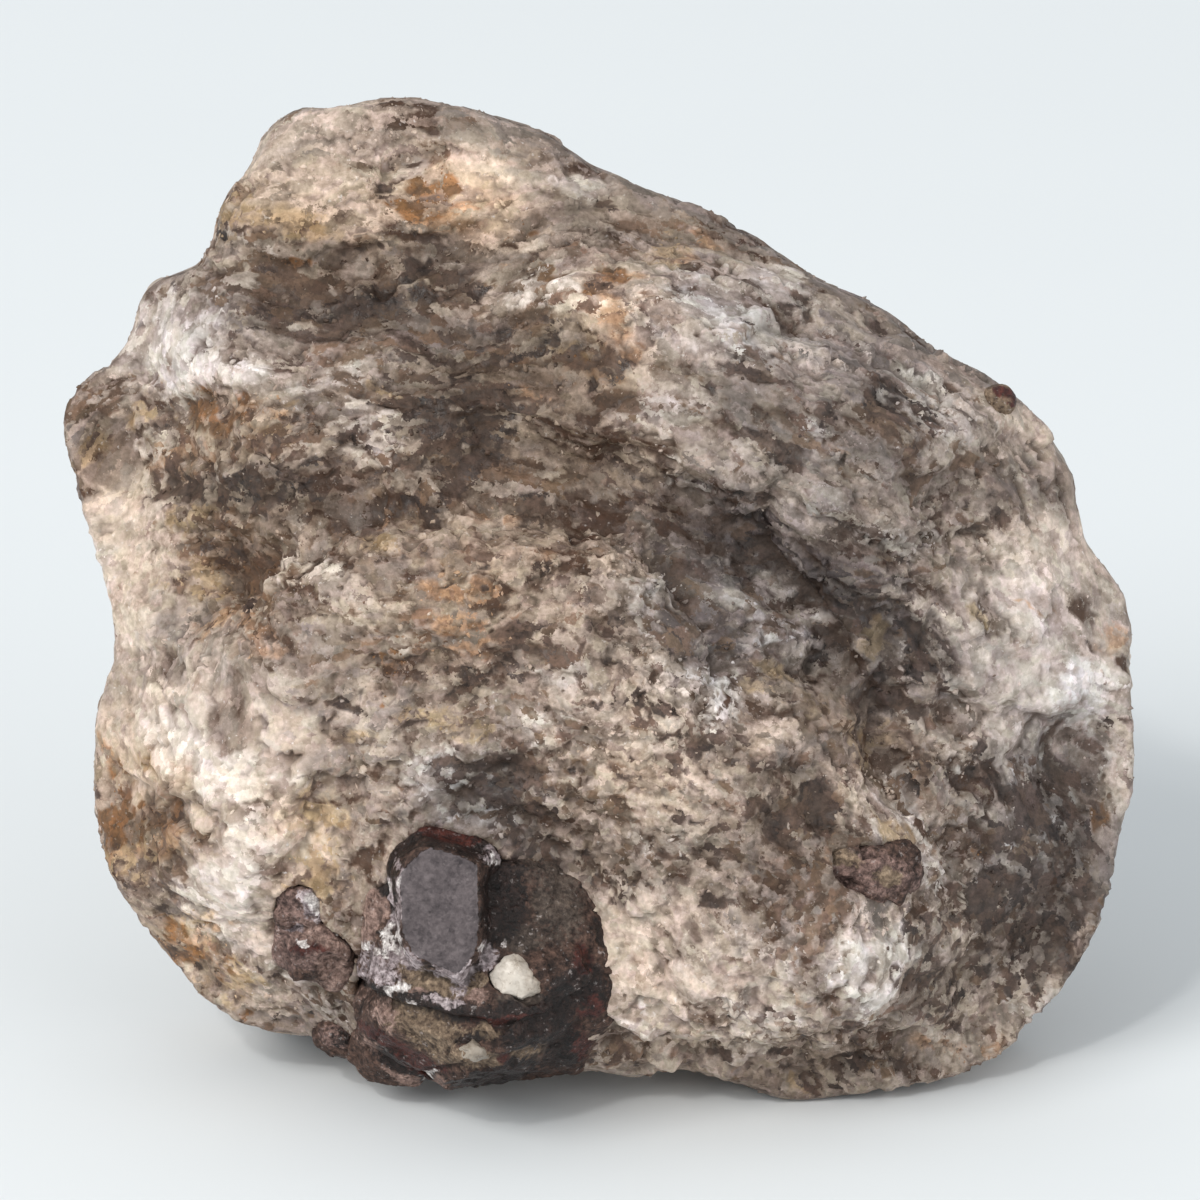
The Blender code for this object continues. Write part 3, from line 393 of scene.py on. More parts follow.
DARK = [  # black mica, and the shade in cracks
    (-2.6, 18.4, 1.8, 1.4, 0, 0.8), (0.6, 17.2, 1.4, 1.0, 0, 0.8), (12.5, 4.4, 2.6, 0.7, -33),
    (17.8, 0.4, 2.2, 0.7, -38), (34.6, -13.6, 1.0, 1.8, 20), (33.2, -18.6, 1.2, 2.4, -15),
    (35.6, -20.0, 0.9, 2.2, 15), (32.0, -23.0, 1.0, 1.8), (-8.3, -14.0, 1.6, 1.3),
    (-6.4, -13.0, 1.4, 1.0, 0, 0.8), (-4.8, -17.2, 1.2, 1.2, 0, 0.8), (-9.3, -15.3, 1.5, 0.7),
    (-6.0, -17.6, 1.4, 0.7), (-4.2, -19.6, 1.8, 1.0, -30, 0.8), (-15.8, 31.8, 1.0, 1.0),
    (-16.3, 23.8, 1.5, 1.2), (-12.0, 24.0, 1.2, 1.0), (-18.5, 22.0, 2.0, 1.0), (-16.0, 21.5, 1.0, 0.8),
    (-22.0, 20.2, 2.5, 0.5), (-19.5, 20.2, 1.0, 0.6), (-17.8, 20.5, 1.0, 0.6), (-18.5, 27.0, 1.2, 0.7),
    (-12.0, 26.3, 2.0, 0.6), (-24.5, 10.5, 1.3, 0.7), (-26.0, 8.8, 3.0, 0.8),
    (-30.0, 8.5, 3.0, 1.0, 0, 0.8), (-27.0, 7.5, 2.0, 0.8), (-23.5, 6.3, 1.0, 0.3),
    (-22.2, 3.5, 2.8, 0.3, 27), (-4.0, 7.0, 2.5, 1.2), (-13.5, 7.0, 2.0, 0.7),
    (-11.5, 13.0, 4.5, 4.0, 0, 0.62), (-14.0, 13.0, 1.3, 2.5), (-10.0, 14.0, 1.0, 2.0),
    (-8.5, 13.5, 1.5, 1.2), (-6.0, 14.5, 1.0, 1.0), (-9.2, 17.5, 2.0, 1.0), (-12.8, 18.5, 1.5, 0.4),
    (-18.5, 15.2, 0.9, 0.3), (0.5, 29.6, 2.5, 0.4, -15), (13.5, 20.5, 1.6, 0.7), (14.5, 21.7, 1.0, 0.4),
    (16.0, 22.0, 0.6, 0.6), (10.8, 18.5, 1.3, 0.9), (21.2, 16.2, 1.6, 1.0, -30), (20.8, 14.8, 1.0, 0.8),
    (24.7, 15.6, 0.5, 0.5), (26.5, 15.3, 0.7, 0.7), (17.0, 14.2, 0.8, 0.8), (13.2, 11.3, 0.9, 1.5),
    (11.0, 12.3, 1.5, 0.6), (7.5, 14.0, 1.0, 0.8), (7.0, 15.2, 0.5, 0.5), (11.0, 16.0, 1.2, 0.4),
    (12.5, 13.5, 1.0, 0.8), (11.4, 7.4, 1.6, 0.3, 50), (20.5, 3.8, 2.0, 0.7, -25), (24.0, 7.0, 0.6, 0.6),
    (28.8, 4.8, 0.8, 0.6), (-10.0, -6.0, 2.5, 0.8), (-9.3, -6.3, 0.8, 0.5), (-5.0, -3.5, 2.0, 1.0),
    (-10.0, -13.8, 1.0, 1.0), (-9.0, -15.0, 1.2, 0.8), (-6.0, -15.0, 2.0, 1.5), (-20.0, -8.0, 3.0, 0.3),
    (-22.0, -10.0, 2.0, 0.3), (-20.0, -13.3, 2.5, 0.25), (-37.0, -19.2, 0.5, 0.7),
    (-31.0, -28.0, 1.5, 0.5, -45), (-25.5, -27.5, 1.0, 1.0, 0, 0.6), (7.5, 2.0, 2.0, 1.0, -20),
    (13.5, 2.5, 2.5, 1.0, -40), (15.0, 0.0, 2.0, 1.0, -45), (16.0, -4.8, 1.3, 1.8),
    (25.5, -4.0, 2.2, 1.0, -25), (22.0, -6.5, 1.5, 1.5), (22.5, -9.0, 1.0, 1.3), (23.0, -3.3, 0.8, 0.8),
    (0.5, -4.0, 0.8, 0.6), (3.0, -8.5, 0.8, 0.8), (6.5, -10.0, 1.5, 0.8), (7.0, -8.0, 0.8, 0.6),
    (4.5, -12.5, 0.8, 0.6), (8.5, -11.8, 0.8, 0.6), (9.5, -17.0, 1.2, 0.3, -10), (7.5, -18.3, 1.0, 0.6),
    (15.0, -13.5, 1.3, 1.0), (16.0, -16.0, 1.3, 1.5), (12.5, -16.0, 1.5, 0.7), (23.5, -12.5, 1.0, 1.0),
    (1.0, -21.0, 1.5, 1.0), (8.5, -22.8, 0.6, 0.6), (24.5, -26.0, 1.0, 0.8), (25.0, -28.5, 3.0, 0.8),
    (26.0, -31.0, 1.5, 1.0), (28.0, -22.0, 1.0, 0.8), (29.0, -24.0, 2.5, 2.0), (33.0, -24.0, 1.5, 2.0),
    (35.0, -26.5, 1.0, 1.5), (31.0, -28.0, 1.5, 1.0), (35.8, -20.5, 1.0, 1.5),
    (33.7, -11.6, 0.8, 2.0, -12), (38.5, -9.3, 0.9, 0.7), (33.0, -16.0, 2.0, 2.0),
    (28.5, -13.5, 2.0, 1.2, -10), (33.0, -19.5, 3.0, 2.0, 0, 0.8), (20.5, -32.2, 1.5, 0.4),
    (17.0, -33.5, 1.5, 0.5), (16.5, -35.7, 1.5, 0.4), (20.0, -34.8, 4.0, 0.5), (8.5, -33.5, 1.5, 0.5),
    (9.5, -31.7, 1.0, 0.5), (37.0, -3.6, 0.4, 0.4), (36.0, 0.2, 0.4, 0.4),
]
MINERALS = {
    "white": WHITE, "cream": CREAM, "yellow": YELLOW, "orange": ORANGE, "rust": RUST,
    "brown": BROWN, "grey": GREY, "smoky": SMOKY, "dark": DARK,
}
print(sum(len(marks) for marks in MINERALS.values()), "marks of", len(MINERALS), "minerals")

# %% Broad tones and warmth of the face
PALER = [  # feldspar-rich parts
    (-24.6, -22.0, 1.8, 4.5, 15, 0.5), (-8.0, 30.0, 2.0, 2.4, 0, 0.3), (-28.0, -4.5, 8.0, 5.0, 0, 0.15),
    (-22.0, -9.0, 6.0, 2.6, 0, 0.3), (-17.0, -15.5, 4.5, 4.0, 0, 0.4), (-24.0, -5.5, 8.0, 3.6, 0, 0.3),
    (-20.0, 33.0, 6.0, 4.0, 0, 0.35), (-8.0, 32.0, 3.0, 2.6, 0, 0.7), (-31.5, 19.5, 3.6, 3.6, 0, 0.45),
    (-30.0, 16.3, 3.5, 2.0, 0, 0.4), (-36.5, 5.5, 3.0, 6.0, 0, 0.6), (-23.5, 2.0, 3.5, 1.8, 35, 0.5),
    (-9.0, 1.5, 7.0, 5.0, 0, 0.25), (9.5, 21.0, 5.5, 4.0, -20, 0.5), (-2.0, 23.3, 2.4, 2.0, 0, 0.6),
    (1.5, 19.5, 2.2, 4.2, 0, 0.55), (7.0, 12.0, 3.5, 3.0, 0, 0.35), (34.0, 11.5, 3.5, 3.5, 0, 0.15),
    (35.0, 4.0, 4.0, 3.0, 0, 0.55), (37.0, -10.9, 1.4, 1.2, 0, 0.5), (33.0, -2.5, 5.5, 4.5, 0, 0.6),
    (29.5, -8.0, 4.0, 3.0, 0, 0.35), (37.5, -6.5, 3.5, 3.0, 0, 0.55), (3.5, -8.5, 4.5, 4.5, 0, 0.4),
    (8.5, -7.5, 2.2, 2.2, 0, 0.5), (-2.5, -9.5, 4.5, 3.0, 0, 0.35), (-30.5, -12.0, 5.0, 3.6, 0, 0.7),
    (-27.0, -21.0, 4.0, 6.5, 12, 0.75), (-23.0, -17.0, 4.0, 3.5, 0, 0.6),
    (-28.0, -26.5, 4.5, 2.2, -30, 0.5), (-19.0, -12.0, 6.5, 4.0, 0, 0.3), (-34.5, -3.5, 3.0, 5.0, 0, 0.4),
    (3.0, -27.0, 3.6, 5.0, 0, 0.55), (8.5, -29.5, 5.0, 3.4, 0, 0.6), (20.0, -28.0, 3.4, 3.4, 0, 0.75),
    (14.0, -26.5, 4.0, 3.0, 0, 0.35), (24.3, -19.5, 1.8, 4.0, 15, 0.5), (26.5, -24.0, 1.4, 3.6, 15, 0.4),
    (29.5, -16.5, 1.4, 2.6, 20, 0.35), (20.5, -14.0, 4.0, 2.5, -30, 0.35),
    (-11.0, -14.5, 1.5, 1.2, 0, 0.4), (22.0, 6.5, 4.0, 1.6, 0, 0.25), (-16.5, -22.0, 2.4, 6.0, 0, 0.3),
    (12.0, -9.5, 3.0, 2.0, -20, 0.25), (8.0, -15.0, 4.0, 1.6, -15, 0.25),
]
DARKER = [  # brown and grey bands, painted shade in crevices, and the dark lower right
    (-8.6, -14.2, 2.6, 2.0, 0, 0.6), (8.0, 22.5, 2.0, 1.2, -20, 0.2), (27.0, 9.0, 4.0, 3.0, 0, 0.25),
    (17.0, 6.5, 5.0, 3.0, -30, 0.45), (24.5, 4.5, 4.0, 2.4, 0, 0.35), (-38.5, 13.0, 3.0, 2.6, 0, 0.45),
    (-29.5, 13.2, 3.0, 1.6, 0, 0.4), (-20.0, 23.5, 9.0, 2.8, 3, 0.8), (-26.0, 27.5, 4.0, 2.2, 0, 0.45),
    (-11.0, 25.2, 5.0, 1.6, 0, 0.5), (1.0, 28.0, 6.0, 1.8, -10, 0.6), (9.5, 26.5, 5.0, 1.6, -25, 0.4),
    (-10.0, 14.5, 5.0, 4.0, 0, 0.85), (-3.0, 18.6, 4.5, 2.2, 0, 0.8), (1.0, 14.8, 4.5, 3.0, 0, 0.65),
    (-28.0, 8.0, 5.0, 3.0, 0, 0.65), (-26.5, 3.0, 2.6, 3.2, 0, 0.8), (-19.0, 8.5, 5.0, 2.0, 0, 0.2),
    (-5.0, 8.2, 8.5, 2.4, 0, 0.4), (12.0, 15.2, 5.0, 2.6, -15, 0.45), (13.0, 20.6, 1.6, 1.8, 0, 0.6),
    (20.5, 15.8, 3.2, 2.0, -20, 0.8), (9.0, 13.6, 3.0, 1.8, 0, 0.4), (17.5, 9.0, 5.0, 2.4, 0, 0.4),
    (24.5, 8.5, 3.0, 2.6, 0, 0.4), (32.0, 7.6, 2.6, 2.2, 0, 0.6), (8.5, 4.6, 4.5, 1.8, -15, 0.8),
    (12.5, 3.6, 5.0, 2.3, -33, 0.85), (19.0, 4.0, 4.0, 3.0, 0, 0.4), (17.6, 0.2, 4.2, 2.2, -38, 1.0),
    (22.2, -2.6, 4.0, 1.7, -25, 0.85), (17.5, -4.5, 3.6, 2.4, -45, 0.5), (26.2, -4.2, 2.6, 1.3, -20, 0.8),
    (21.6, -7.8, 1.9, 3.0, -10, 0.8), (16.0, -8.8, 2.0, 1.4, 0, 0.5), (7.0, -1.0, 3.4, 2.6, 0, 0.55),
    (12.5, -4.5, 3.0, 2.2, -20, 0.5), (33.8, -13.2, 2.2, 2.8, 0, 0.7), (34.0, -17.5, 3.2, 4.4, 0, 0.75),
    (33.5, -24.0, 3.4, 3.4, 0, 0.6), (29.5, -21.0, 1.6, 3.0, 0, 0.4), (38.0, -18.5, 2.2, 5.0, 0, 0.8),
    (14.5, -0.5, 7.0, 1.6, -40, 0.5), (29.0, -28.0, 3.4, 2.0, 30, 0.55), (16.5, -17.0, 3.0, 4.0, 0, 0.6),
    (10.0, -20.0, 3.4, 2.6, 0, 0.4), (20.0, -21.0, 4.0, 2.6, 0, 0.55), (13.0, -36.0, 5.0, 1.6, 0, 0.8),
    (21.0, -35.0, 4.0, 1.4, 10, 0.6), (-10.5, -16.2, 4.0, 1.6, 0, 0.75), (-4.5, -19.5, 3.0, 2.6, -30, 0.9),
    (-34.0, -15.5, 2.6, 3.0, 40, 0.6), (-29.0, -29.0, 4.0, 1.2, -25, 0.4),
    (-18.0, -31.5, 5.0, 1.8, -15, 0.5), (-12.5, -5.0, 4.0, 2.8, 0, 0.4), (1.0, -4.0, 3.4, 2.0, 0, 0.3),
    (9.5, -11.5, 3.0, 1.6, -20, 0.45), (-14.0, 20.5, 4.0, 1.2, 0, 0.4), (27.0, -14.5, 3.0, 2.0, -20, 0.4),
    (2.0, -20.5, 2.4, 2.0, 0, 0.4),
]
WARMER = [  # where iron has stained the grains
    (-10.0, 0.0, 6.0, 4.0, 0, 0.4), (-28.0, 2.5, 4.0, 4.5, 0, 0.5), (-12.0, 30.5, 3.0, 2.6, 0, 0.5),
    (-36.0, -16.0, 3.0, 5.0, 0, 0.6), (-9.5, 29.5, 3.2, 2.2, 0, 1.0), (-14.0, 31.0, 3.0, 2.0, 0, 0.5),
    (-23.0, 28.5, 6.0, 2.6, 0, 0.7), (0.3, 21.0, 2.2, 3.2, 0, 1.0), (-3.0, 17.0, 5.0, 3.0, 0, 0.7),
    (-29.0, 12.5, 5.0, 2.4, 0, 0.8), (-26.5, 3.0, 3.0, 4.0, 0, 0.8), (-10.0, 3.0, 7.5, 4.0, 0, 0.6),
    (-12.0, -4.5, 5.0, 3.0, 0, 0.5), (-35.0, -14.5, 3.4, 4.0, 40, 1.0), (-32.0, -27.0, 4.0, 2.0, -50, 0.9),
    (-21.0, -19.0, 4.0, 4.5, 0, 0.5), (17.5, -8.2, 2.4, 1.4, 0, 0.8), (1.0, 10.5, 4.0, 2.4, 0, 0.6),
    (-8.0, 13.0, 5.0, 4.0, 0, 0.5), (-38.0, 11.0, 3.0, 3.0, 0, 0.5), (-17.0, 24.5, 6.0, 2.0, 0, 0.4),
    (9.0, 26.5, 4.0, 1.4, -25, 0.5), (-17.0, 9.0, 4.0, 3.0, 0, 0.4), (1.5, -14.0, 4.0, 2.0, 0, 0.3),
    (13.0, -34.0, 6.0, 2.0, 0, 0.5),
]
COOLER = [  # clear quartz and mica with no stain
    (-9.0, -14.2, 3.0, 2.4, 0, 0.9), (33.5, -15.0, 4.5, 7.0, 0, 0.6), (14.0, 3.0, 6.0, 3.0, -33, 0.7),
    (-28.0, -5.0, 6.0, 4.0, 0, 0.3), (16.0, 14.0, 10.0, 8.0, -30, 0.5), (12.0, 0.0, 7.0, 5.0, -30, 0.8),
    (33.0, -17.0, 6.0, 8.0, 0, 0.8), (33.0, -3.0, 6.0, 6.0, 0, 0.75), (-31.0, 18.5, 4.0, 4.0, 0, 0.4),
    (10.0, 21.0, 5.0, 3.0, -20, 0.8), (22.0, -4.0, 6.0, 4.0, 0, 0.6), (-19.0, 6.5, 3.0, 1.4, 0, 0.6),
    (18.0, -27.0, 5.0, 4.0, 0, 0.5), (-10.0, -16.0, 4.0, 2.0, 0, 0.7), (8.0, -6.0, 3.0, 3.0, 0, 0.6),
]
MASSIVE = [  # solid feldspar with smooth breaks and few dark grains
    (33.5, -2.5, 5.5, 5.0, 0, 1.0), (29.5, -7.5, 3.5, 2.5, 0, 0.7), (35.0, 4.5, 3.5, 3.0, 0, 0.8),
    (34.0, 11.0, 3.0, 3.0, 0, 0.6), (-30.0, -9.5, 7.0, 5.2, 0, 1.0), (-24.0, -12.0, 5.0, 3.0, 0, 0.7),
    (-27.0, -20.5, 3.6, 6.0, 12, 0.9), (-22.5, -17.0, 3.5, 3.5, 0, 0.6), (-36.5, 5.5, 2.6, 5.5, 0, 0.8),
    (-31.5, 19.5, 3.2, 3.2, 0, 0.7), (-20.0, 33.0, 5.0, 3.0, 0, 0.5), (-8.0, 32.0, 2.6, 2.4, 0, 0.9),
    (10.0, 21.0, 4.0, 3.0, -20, 0.6), (1.5, 19.5, 1.8, 4.0, 0, 0.6), (3.0, -27.0, 3.0, 4.6, 0, 0.9),
    (8.5, -29.5, 4.0, 2.8, 0, 0.5), (-34.5, -4.0, 2.6, 4.6, 0, 0.6), (7.0, 12.0, 3.0, 2.4, 0, 0.4),
    (20.0, -28.0, 2.4, 2.6, 0, 0.5), (15.0, -9.0, 2.4, 1.6, 0, 0.5), (0.0, 31.0, 5.0, 2.0, -10, 0.5),
    (16.0, 26.0, 6.0, 1.6, -32, 0.5),
]
print(len(PALER), "paler parts,", len(DARKER), "darker,", len(WARMER), "warmer,", len(COOLER), "cooler")

# %% [markdown]
# A mark with a clean edge would look stamped on. So the places are first pushed about by noise, most of
# all along the bands, which frays every mark's edge in the same way as the rock's own streaks. Away from
# the face, where no mark is given, the same minerals come in patches and bands from noise alone.

# %% How strongly each mineral shows at many points
MARK_FRAY = 1.7
MARK_EDGE = 1.15  # 1 is a soft mark, more is a flatter one with a sharper edge
FACE_FADE = (-7.0, -1.5)  # from the back's patches to the face's marks, in w
TONE_SWING = 0.56
WILD = {  # how common each mineral is away from the marks: level, swing, and the size of its patches
    "white": (0.20, 0.55, 7.0), "cream": (0.42, 0.60, 10.0), "yellow": (0.04, 0.35, 8.0),
    "orange": (0.02, 0.36, 7.0), "rust": (-0.22, 0.50, 9.0), "brown": (0.20, 0.55, 7.0),
    "grey": (0.26, 0.60, 9.0), "smoky": (0.06, 0.50, 9.0), "dark": (0.08, 0.55, 6.0),
}
BETWEEN_MARKS = {"white": 0.16, "brown": 0.17, "grey": 0.16, "dark": 0.13, "cream": 0.20}


def marked(seen_u, seen_v, marks):
    """How strongly a set of soft ellipses covers each place."""
    bare = np.ones(len(seen_u))
    for mark in marks:
        centre_u, centre_v, half_length, half_width, turn, strength = (*mark, *(0.0, 1.0)[len(mark) - 4:])
        cosine = math.cos(math.radians(turn))
        sine = math.sin(math.radians(turn))
        along = ((seen_u - centre_u) * cosine + (seen_v - centre_v) * sine) / half_length
        across = ((seen_v - centre_v) * cosine - (seen_u - centre_u) * sine) / half_width
        bare *= 1.0 - strength * np.exp(-np.power(along * along + across * across, MARK_EDGE) * 0.7)
    return 1.0 - bare


def frayed_places(face, bands):
    """The places by which marks are found: u and v, pushed about by noise."""
    squeezed = bands * (0.33, 0.62, 0.62)
    closer = EYE_DISTANCE / (EYE_DISTANCE - face[:, 2])
    seen_u = face[:, 0] * closer + layered_noise(squeezed, 401, 3) * MARK_FRAY * 1.25
    seen_v = face[:, 1] * closer + layered_noise(squeezed, 411, 3) * MARK_FRAY * 0.8
    return seen_u, seen_v


def broad_tones(face, bands):
    """How pale, how warm and how massive the rock is at many points; 0.5 is plain for the first two."""
    seen = frayed_places(face, bands)
    on_face = smooth_step(*FACE_FADE, face[:, 2])
    wild = layered_noise(bands / (20.0, 9.0, 11.0), 591, 4)
    stain = layered_noise(bands / (16.0, 11.0, 12.0), 596, 4)
    # the darker parts include painted shade in crevices
    pale = 0.5 + TONE_SWING * (marked(*seen, PALER) - 0.85 * marked(*seen, DARKER))
    warm = 0.5 + TONE_SWING * (marked(*seen, WARMER) - marked(*seen, COOLER))
    massive = marked(*seen, MASSIVE) * on_face + smooth_step(0.12, 0.4, wild) * (1.0 - on_face)
    return np.stack([np.clip(pale * on_face + (0.5 + 0.9 * wild) * (1.0 - on_face), 0.0, 1.0),
                     np.clip(warm * on_face + (0.5 + 0.8 * stain) * (1.0 - on_face), 0.0, 1.0),
                     massive], axis=1)


def mineral_shares(face, bands):
    """For each mineral, how likely a grain at each point is to be of it."""
    seen_u, seen_v = frayed_places(face, bands)
    on_face = smooth_step(*FACE_FADE, face[:, 2])
    massive = marked(seen_u, seen_v, MASSIVE)
    shares = {}
    for number, (mineral, marks) in enumerate(MINERALS.items()):
        level, swing, size = WILD[mineral]
        patches = layered_noise(bands / (size * 1.9, size * 0.8, size), 500 + 10 * number, 4)
        wild = np.clip(level + swing * patches, 0.0, 1.0)
        rest = BETWEEN_MARKS.get(mineral, 0.0) * (1.0 + patches)
        faced = 1.0 - (1.0 - marked(seen_u, seen_v, marks)) * (1.0 - np.clip(rest, 0.0, 1.0))
        if mineral in ("brown", "dark", "grey", "rust", "smoky"):
            faced = faced * (1.0 - 0.75 * massive)
        shares[mineral] = wild * (1.0 - on_face) + faced * on_face
    return shares


test_face = np.array([[-31.0, 20.0, 8.0], [0.0, 0.0, -20.0]])
print({name: np.round(share, 2).tolist()
       for name, share in mineral_shares(test_face, band_places(test_face)).items()})

# %% [markdown]
# ## Writing a finish as sums
#
# A finish is a tree of nodes, and a tree is tedious to build one link at a time. The small class below
# wraps a node's output, so that plain sums in Python add the Math nodes for us. Every other node comes
# from one method of the finish, which takes its kind, its settings and what goes into its sockets.

# %% Values that add their own Math nodes
class Value:
    """A number that varies over the surface: the output of a node."""

    def __init__(self, finish, socket):
        self.finish = finish
        self.socket = socket

    def _maths(self, operation, *numbers, clamp=False):
        settings = {"operation": operation, "use_clamp": clamp}
        return self.finish.node("ShaderNodeMath", settings, dict(enumerate(numbers)))

    def __add__(self, other):
        return self._maths("ADD", self, other)

    def __sub__(self, other):
        return self._maths("SUBTRACT", self, other)

    def __rsub__(self, other):
        return self._maths("SUBTRACT", other, self)

    def __mul__(self, other):
        return self._maths("MULTIPLY", self, other)

    __radd__ = __add__
    __rmul__ = __mul__

    def kept(self):
        """The same, held between nought and one."""
        return self._maths("ADD", self, 0.0, clamp=True)

    def larger(self, other):
        """Whichever is larger."""
        return self._maths("MAXIMUM", self, other)


class Finish:
    """A material under construction."""

    def __init__(self, name):
        self.material = bpy.data.materials.new(name)
        self.material.use_nodes = True
        self.tree = self.material.node_tree
        self.shader = self.tree.nodes["Principled BSDF"]

    def node(self, kind, settings=None, sockets=None, output=0):
        """Add a node: its settings first, then the values or links of its sockets."""
        added = self.tree.nodes.new(kind)
        for name, setting in (settings or {}).items():
            if name == "stops":
                self._set_stops(added.color_ramp, setting)
            else:
                setattr(added, name, setting)
        for name, content in (sockets or {}).items():
            self.feed(added.inputs[name], content)
        return Value(self, added.outputs[output])

    def _set_stops(self, ramp, stops):
        while len(ramp.elements) < len(stops):
            ramp.elements.new(1.0)
        for element, (place, colour) in zip(ramp.elements, stops):
            element.position = place
            element.color = colour

    def feed(self, socket, content):
        """Link a value to a socket, or set the socket to a plain number or colour."""
        if isinstance(content, Value):
            self.tree.links.new(content.socket, socket)
        else:
            socket.default_value = content

    def set(self, **sockets):
        """Feed the shader's own sockets, whose names have _ for a space here."""
        for name, content in sockets.items():
            self.feed(self.shader.inputs[name.replace("_", " ")], content)


print("sums of values now add their own nodes")

# %% Colours, attributes, noise and cells as nodes
MIX_FACTOR, MIX_A, MIX_B, MIX_RESULT = 0, 6, 7, 2
IN_MILLIMETRES = (1000.0, 1000.0, 1000.0)


def shade(red, green, blue):
    """A colour seen on a screen, from 0 to 255, as the shader's linear colour."""
    parts = [part / 255.0 for part in (red, green, blue)]
    linear = [part / 12.92 if part <= 0.04045 else ((part + 0.055) / 1.055) ** 2.4 for part in parts]
    return (*linear, 1.0)


def mixed(finish, factor, first, second, blend="MIX"):
    """One colour over another."""
    settings = {"data_type": "RGBA", "blend_type": blend}
    sockets = {MIX_FACTOR: factor, MIX_A: first, MIX_B: second}
    return finish.node("ShaderNodeMix", settings, sockets, MIX_RESULT)


def stored(finish, name, output=1):
    """What the mesh carries at each corner under this name: 1 as a vector, 2 as a number."""
    return finish.node("ShaderNodeAttribute", {"attribute_name": name}, None, output)


def parts_of(finish, vector):
    """A vector's three parts."""
    split = finish.node("ShaderNodeSeparateXYZ", None, {0: vector})
    outputs = split.socket.node.outputs
    return [Value(finish, outputs[number]) for number in range(3)]


def stretched(finish, vector, scale):
    """A vector with each part multiplied."""
    return finish.node("ShaderNodeVectorMath", {"operation": "MULTIPLY"}, {0: vector, 1: scale})


def noise_node(finish, vector, scale, detail=2.0, rough=0.5, output=0):
    """Smooth noise about features of 1 / scale."""
    sockets = {"Vector": vector, "Scale": scale, "Detail": detail, "Roughness": rough}
    return finish.node("ShaderNodeTexNoise", None, sockets, output)


def cells_node(finish, vector, scale, output=1):
    """Cells with a random colour each; output 0 is the distance to the cell's seed."""
    return finish.node("ShaderNodeTexVoronoi", None, {"Vector": vector, "Scale": scale}, output)


print("mid grey is", round(shade(128, 128, 128)[0], 3), "in linear light")

# %% [markdown]
# ## The rock's finish
#
# Each grain of the rock is one cell of a pattern that is stretched along the bands. The mesh carries how
# likely each mineral is at each place. A cell takes a mineral's colour when its own random number, with
# some streaky noise in it, beats that likelihood. So a mark that is half strong comes out as a sprinkle of
# grains, and a full one as a solid patch with frayed edges. Darker, rougher minerals are laid over the
# paler ones.

# %% The minerals' colours
GROUND = (shade(76, 57, 45), shade(200, 190, 179))
MINERAL_COLOURS = {  # the darkest and the palest grain of each
    "grey": (shade(88, 78, 73), shade(168, 160, 154)),
    "smoky": (shade(52, 44, 42), shade(136, 127, 125)),
    "cream": (shade(148, 131, 116), shade(221, 212, 201)),
    "yellow": (shade(122, 100, 72), shade(206, 190, 160)),
    "white": (shade(158, 150, 143), shade(230, 228, 224)),
    "orange": (shade(120, 90, 64), shade(206, 178, 148)),
    "rust": (shade(56, 37, 22), shade(162, 121, 76)),
    "brown": (shade(50, 35, 26), shade(136, 113, 94)),
    "dark": (shade(28, 19, 15), shade(112, 96, 85)),
}
SHARE_NAMES = [("white", "cream", "yellow"), ("orange", "rust", "brown"), ("grey", "smoky", "dark")]
print("paints:", ", ".join(MINERAL_COLOURS))

# %% How the rock's colour is built
GRAIN_SIZE = (1.05, 0.65, 0.65)  # along the bands, across them and inward, in millimetres
PAINT_SHARPNESS = 3.2
FULLEST = {  # how fully each mineral covers the middle of its marks
    "grey": 0.74, "smoky": 0.76, "cream": 0.84, "yellow": 0.70, "white": 0.92, "orange": 0.60,
    "rust": 0.72, "brown": 0.72, "dark": 0.84,
}
STRAY = {  # how freely the grains of each mineral stray from where it is common: everywhere, and in a mark
    "grey": (0.9, 1.0), "smoky": (0.7, 1.2), "cream": (0.9, 0.9), "yellow": (0.2, 1.2), "white": (0.9, 1.0),
    "orange": (0.0, 1.4), "rust": (0.0, 1.6), "brown": (1.0, 1.5), "dark": (1.0, 1.7),
}
TONE_TINTS = ((0.36, 0.34, 0.33, 1.0), (1.30, 1.29, 1.28, 1.0))
WARM_TINTS = ((0.94, 0.97, 1.02, 1.0), (1.10, 0.975, 0.82, 1.0))
HUE_TINTS = ((0.95, 0.985, 1.04, 1.0), (1.05, 1.01, 0.945, 1.0))
BLUSH_TINTS = ((0.985, 1.018, 0.955, 1.0), (1.03, 0.945, 1.025, 1.0))
GLINT_FROM, GLINT_SHARPNESS = 0.64, 9.0  # painted highlights: only the brightest specks are painted near white
PAINTED_GLINT_COLOUR = shade(236, 230, 226)


def painted(finish, under, share, chance, tone, colours, fullest, strays):
    """A mineral's colour over what is under it, where its share beats chance."""
    stray = (chance - 0.5) * (share * strays[1] + strays[0])
    edge = ((share * fullest + stray - 0.45) * PAINT_SHARPNESS + 0.5).kept()
    cover = (edge * (0.55 + fullest * 0.5)).kept()
    return mixed(finish, cover, under, mixed(finish, tone, *colours)), cover


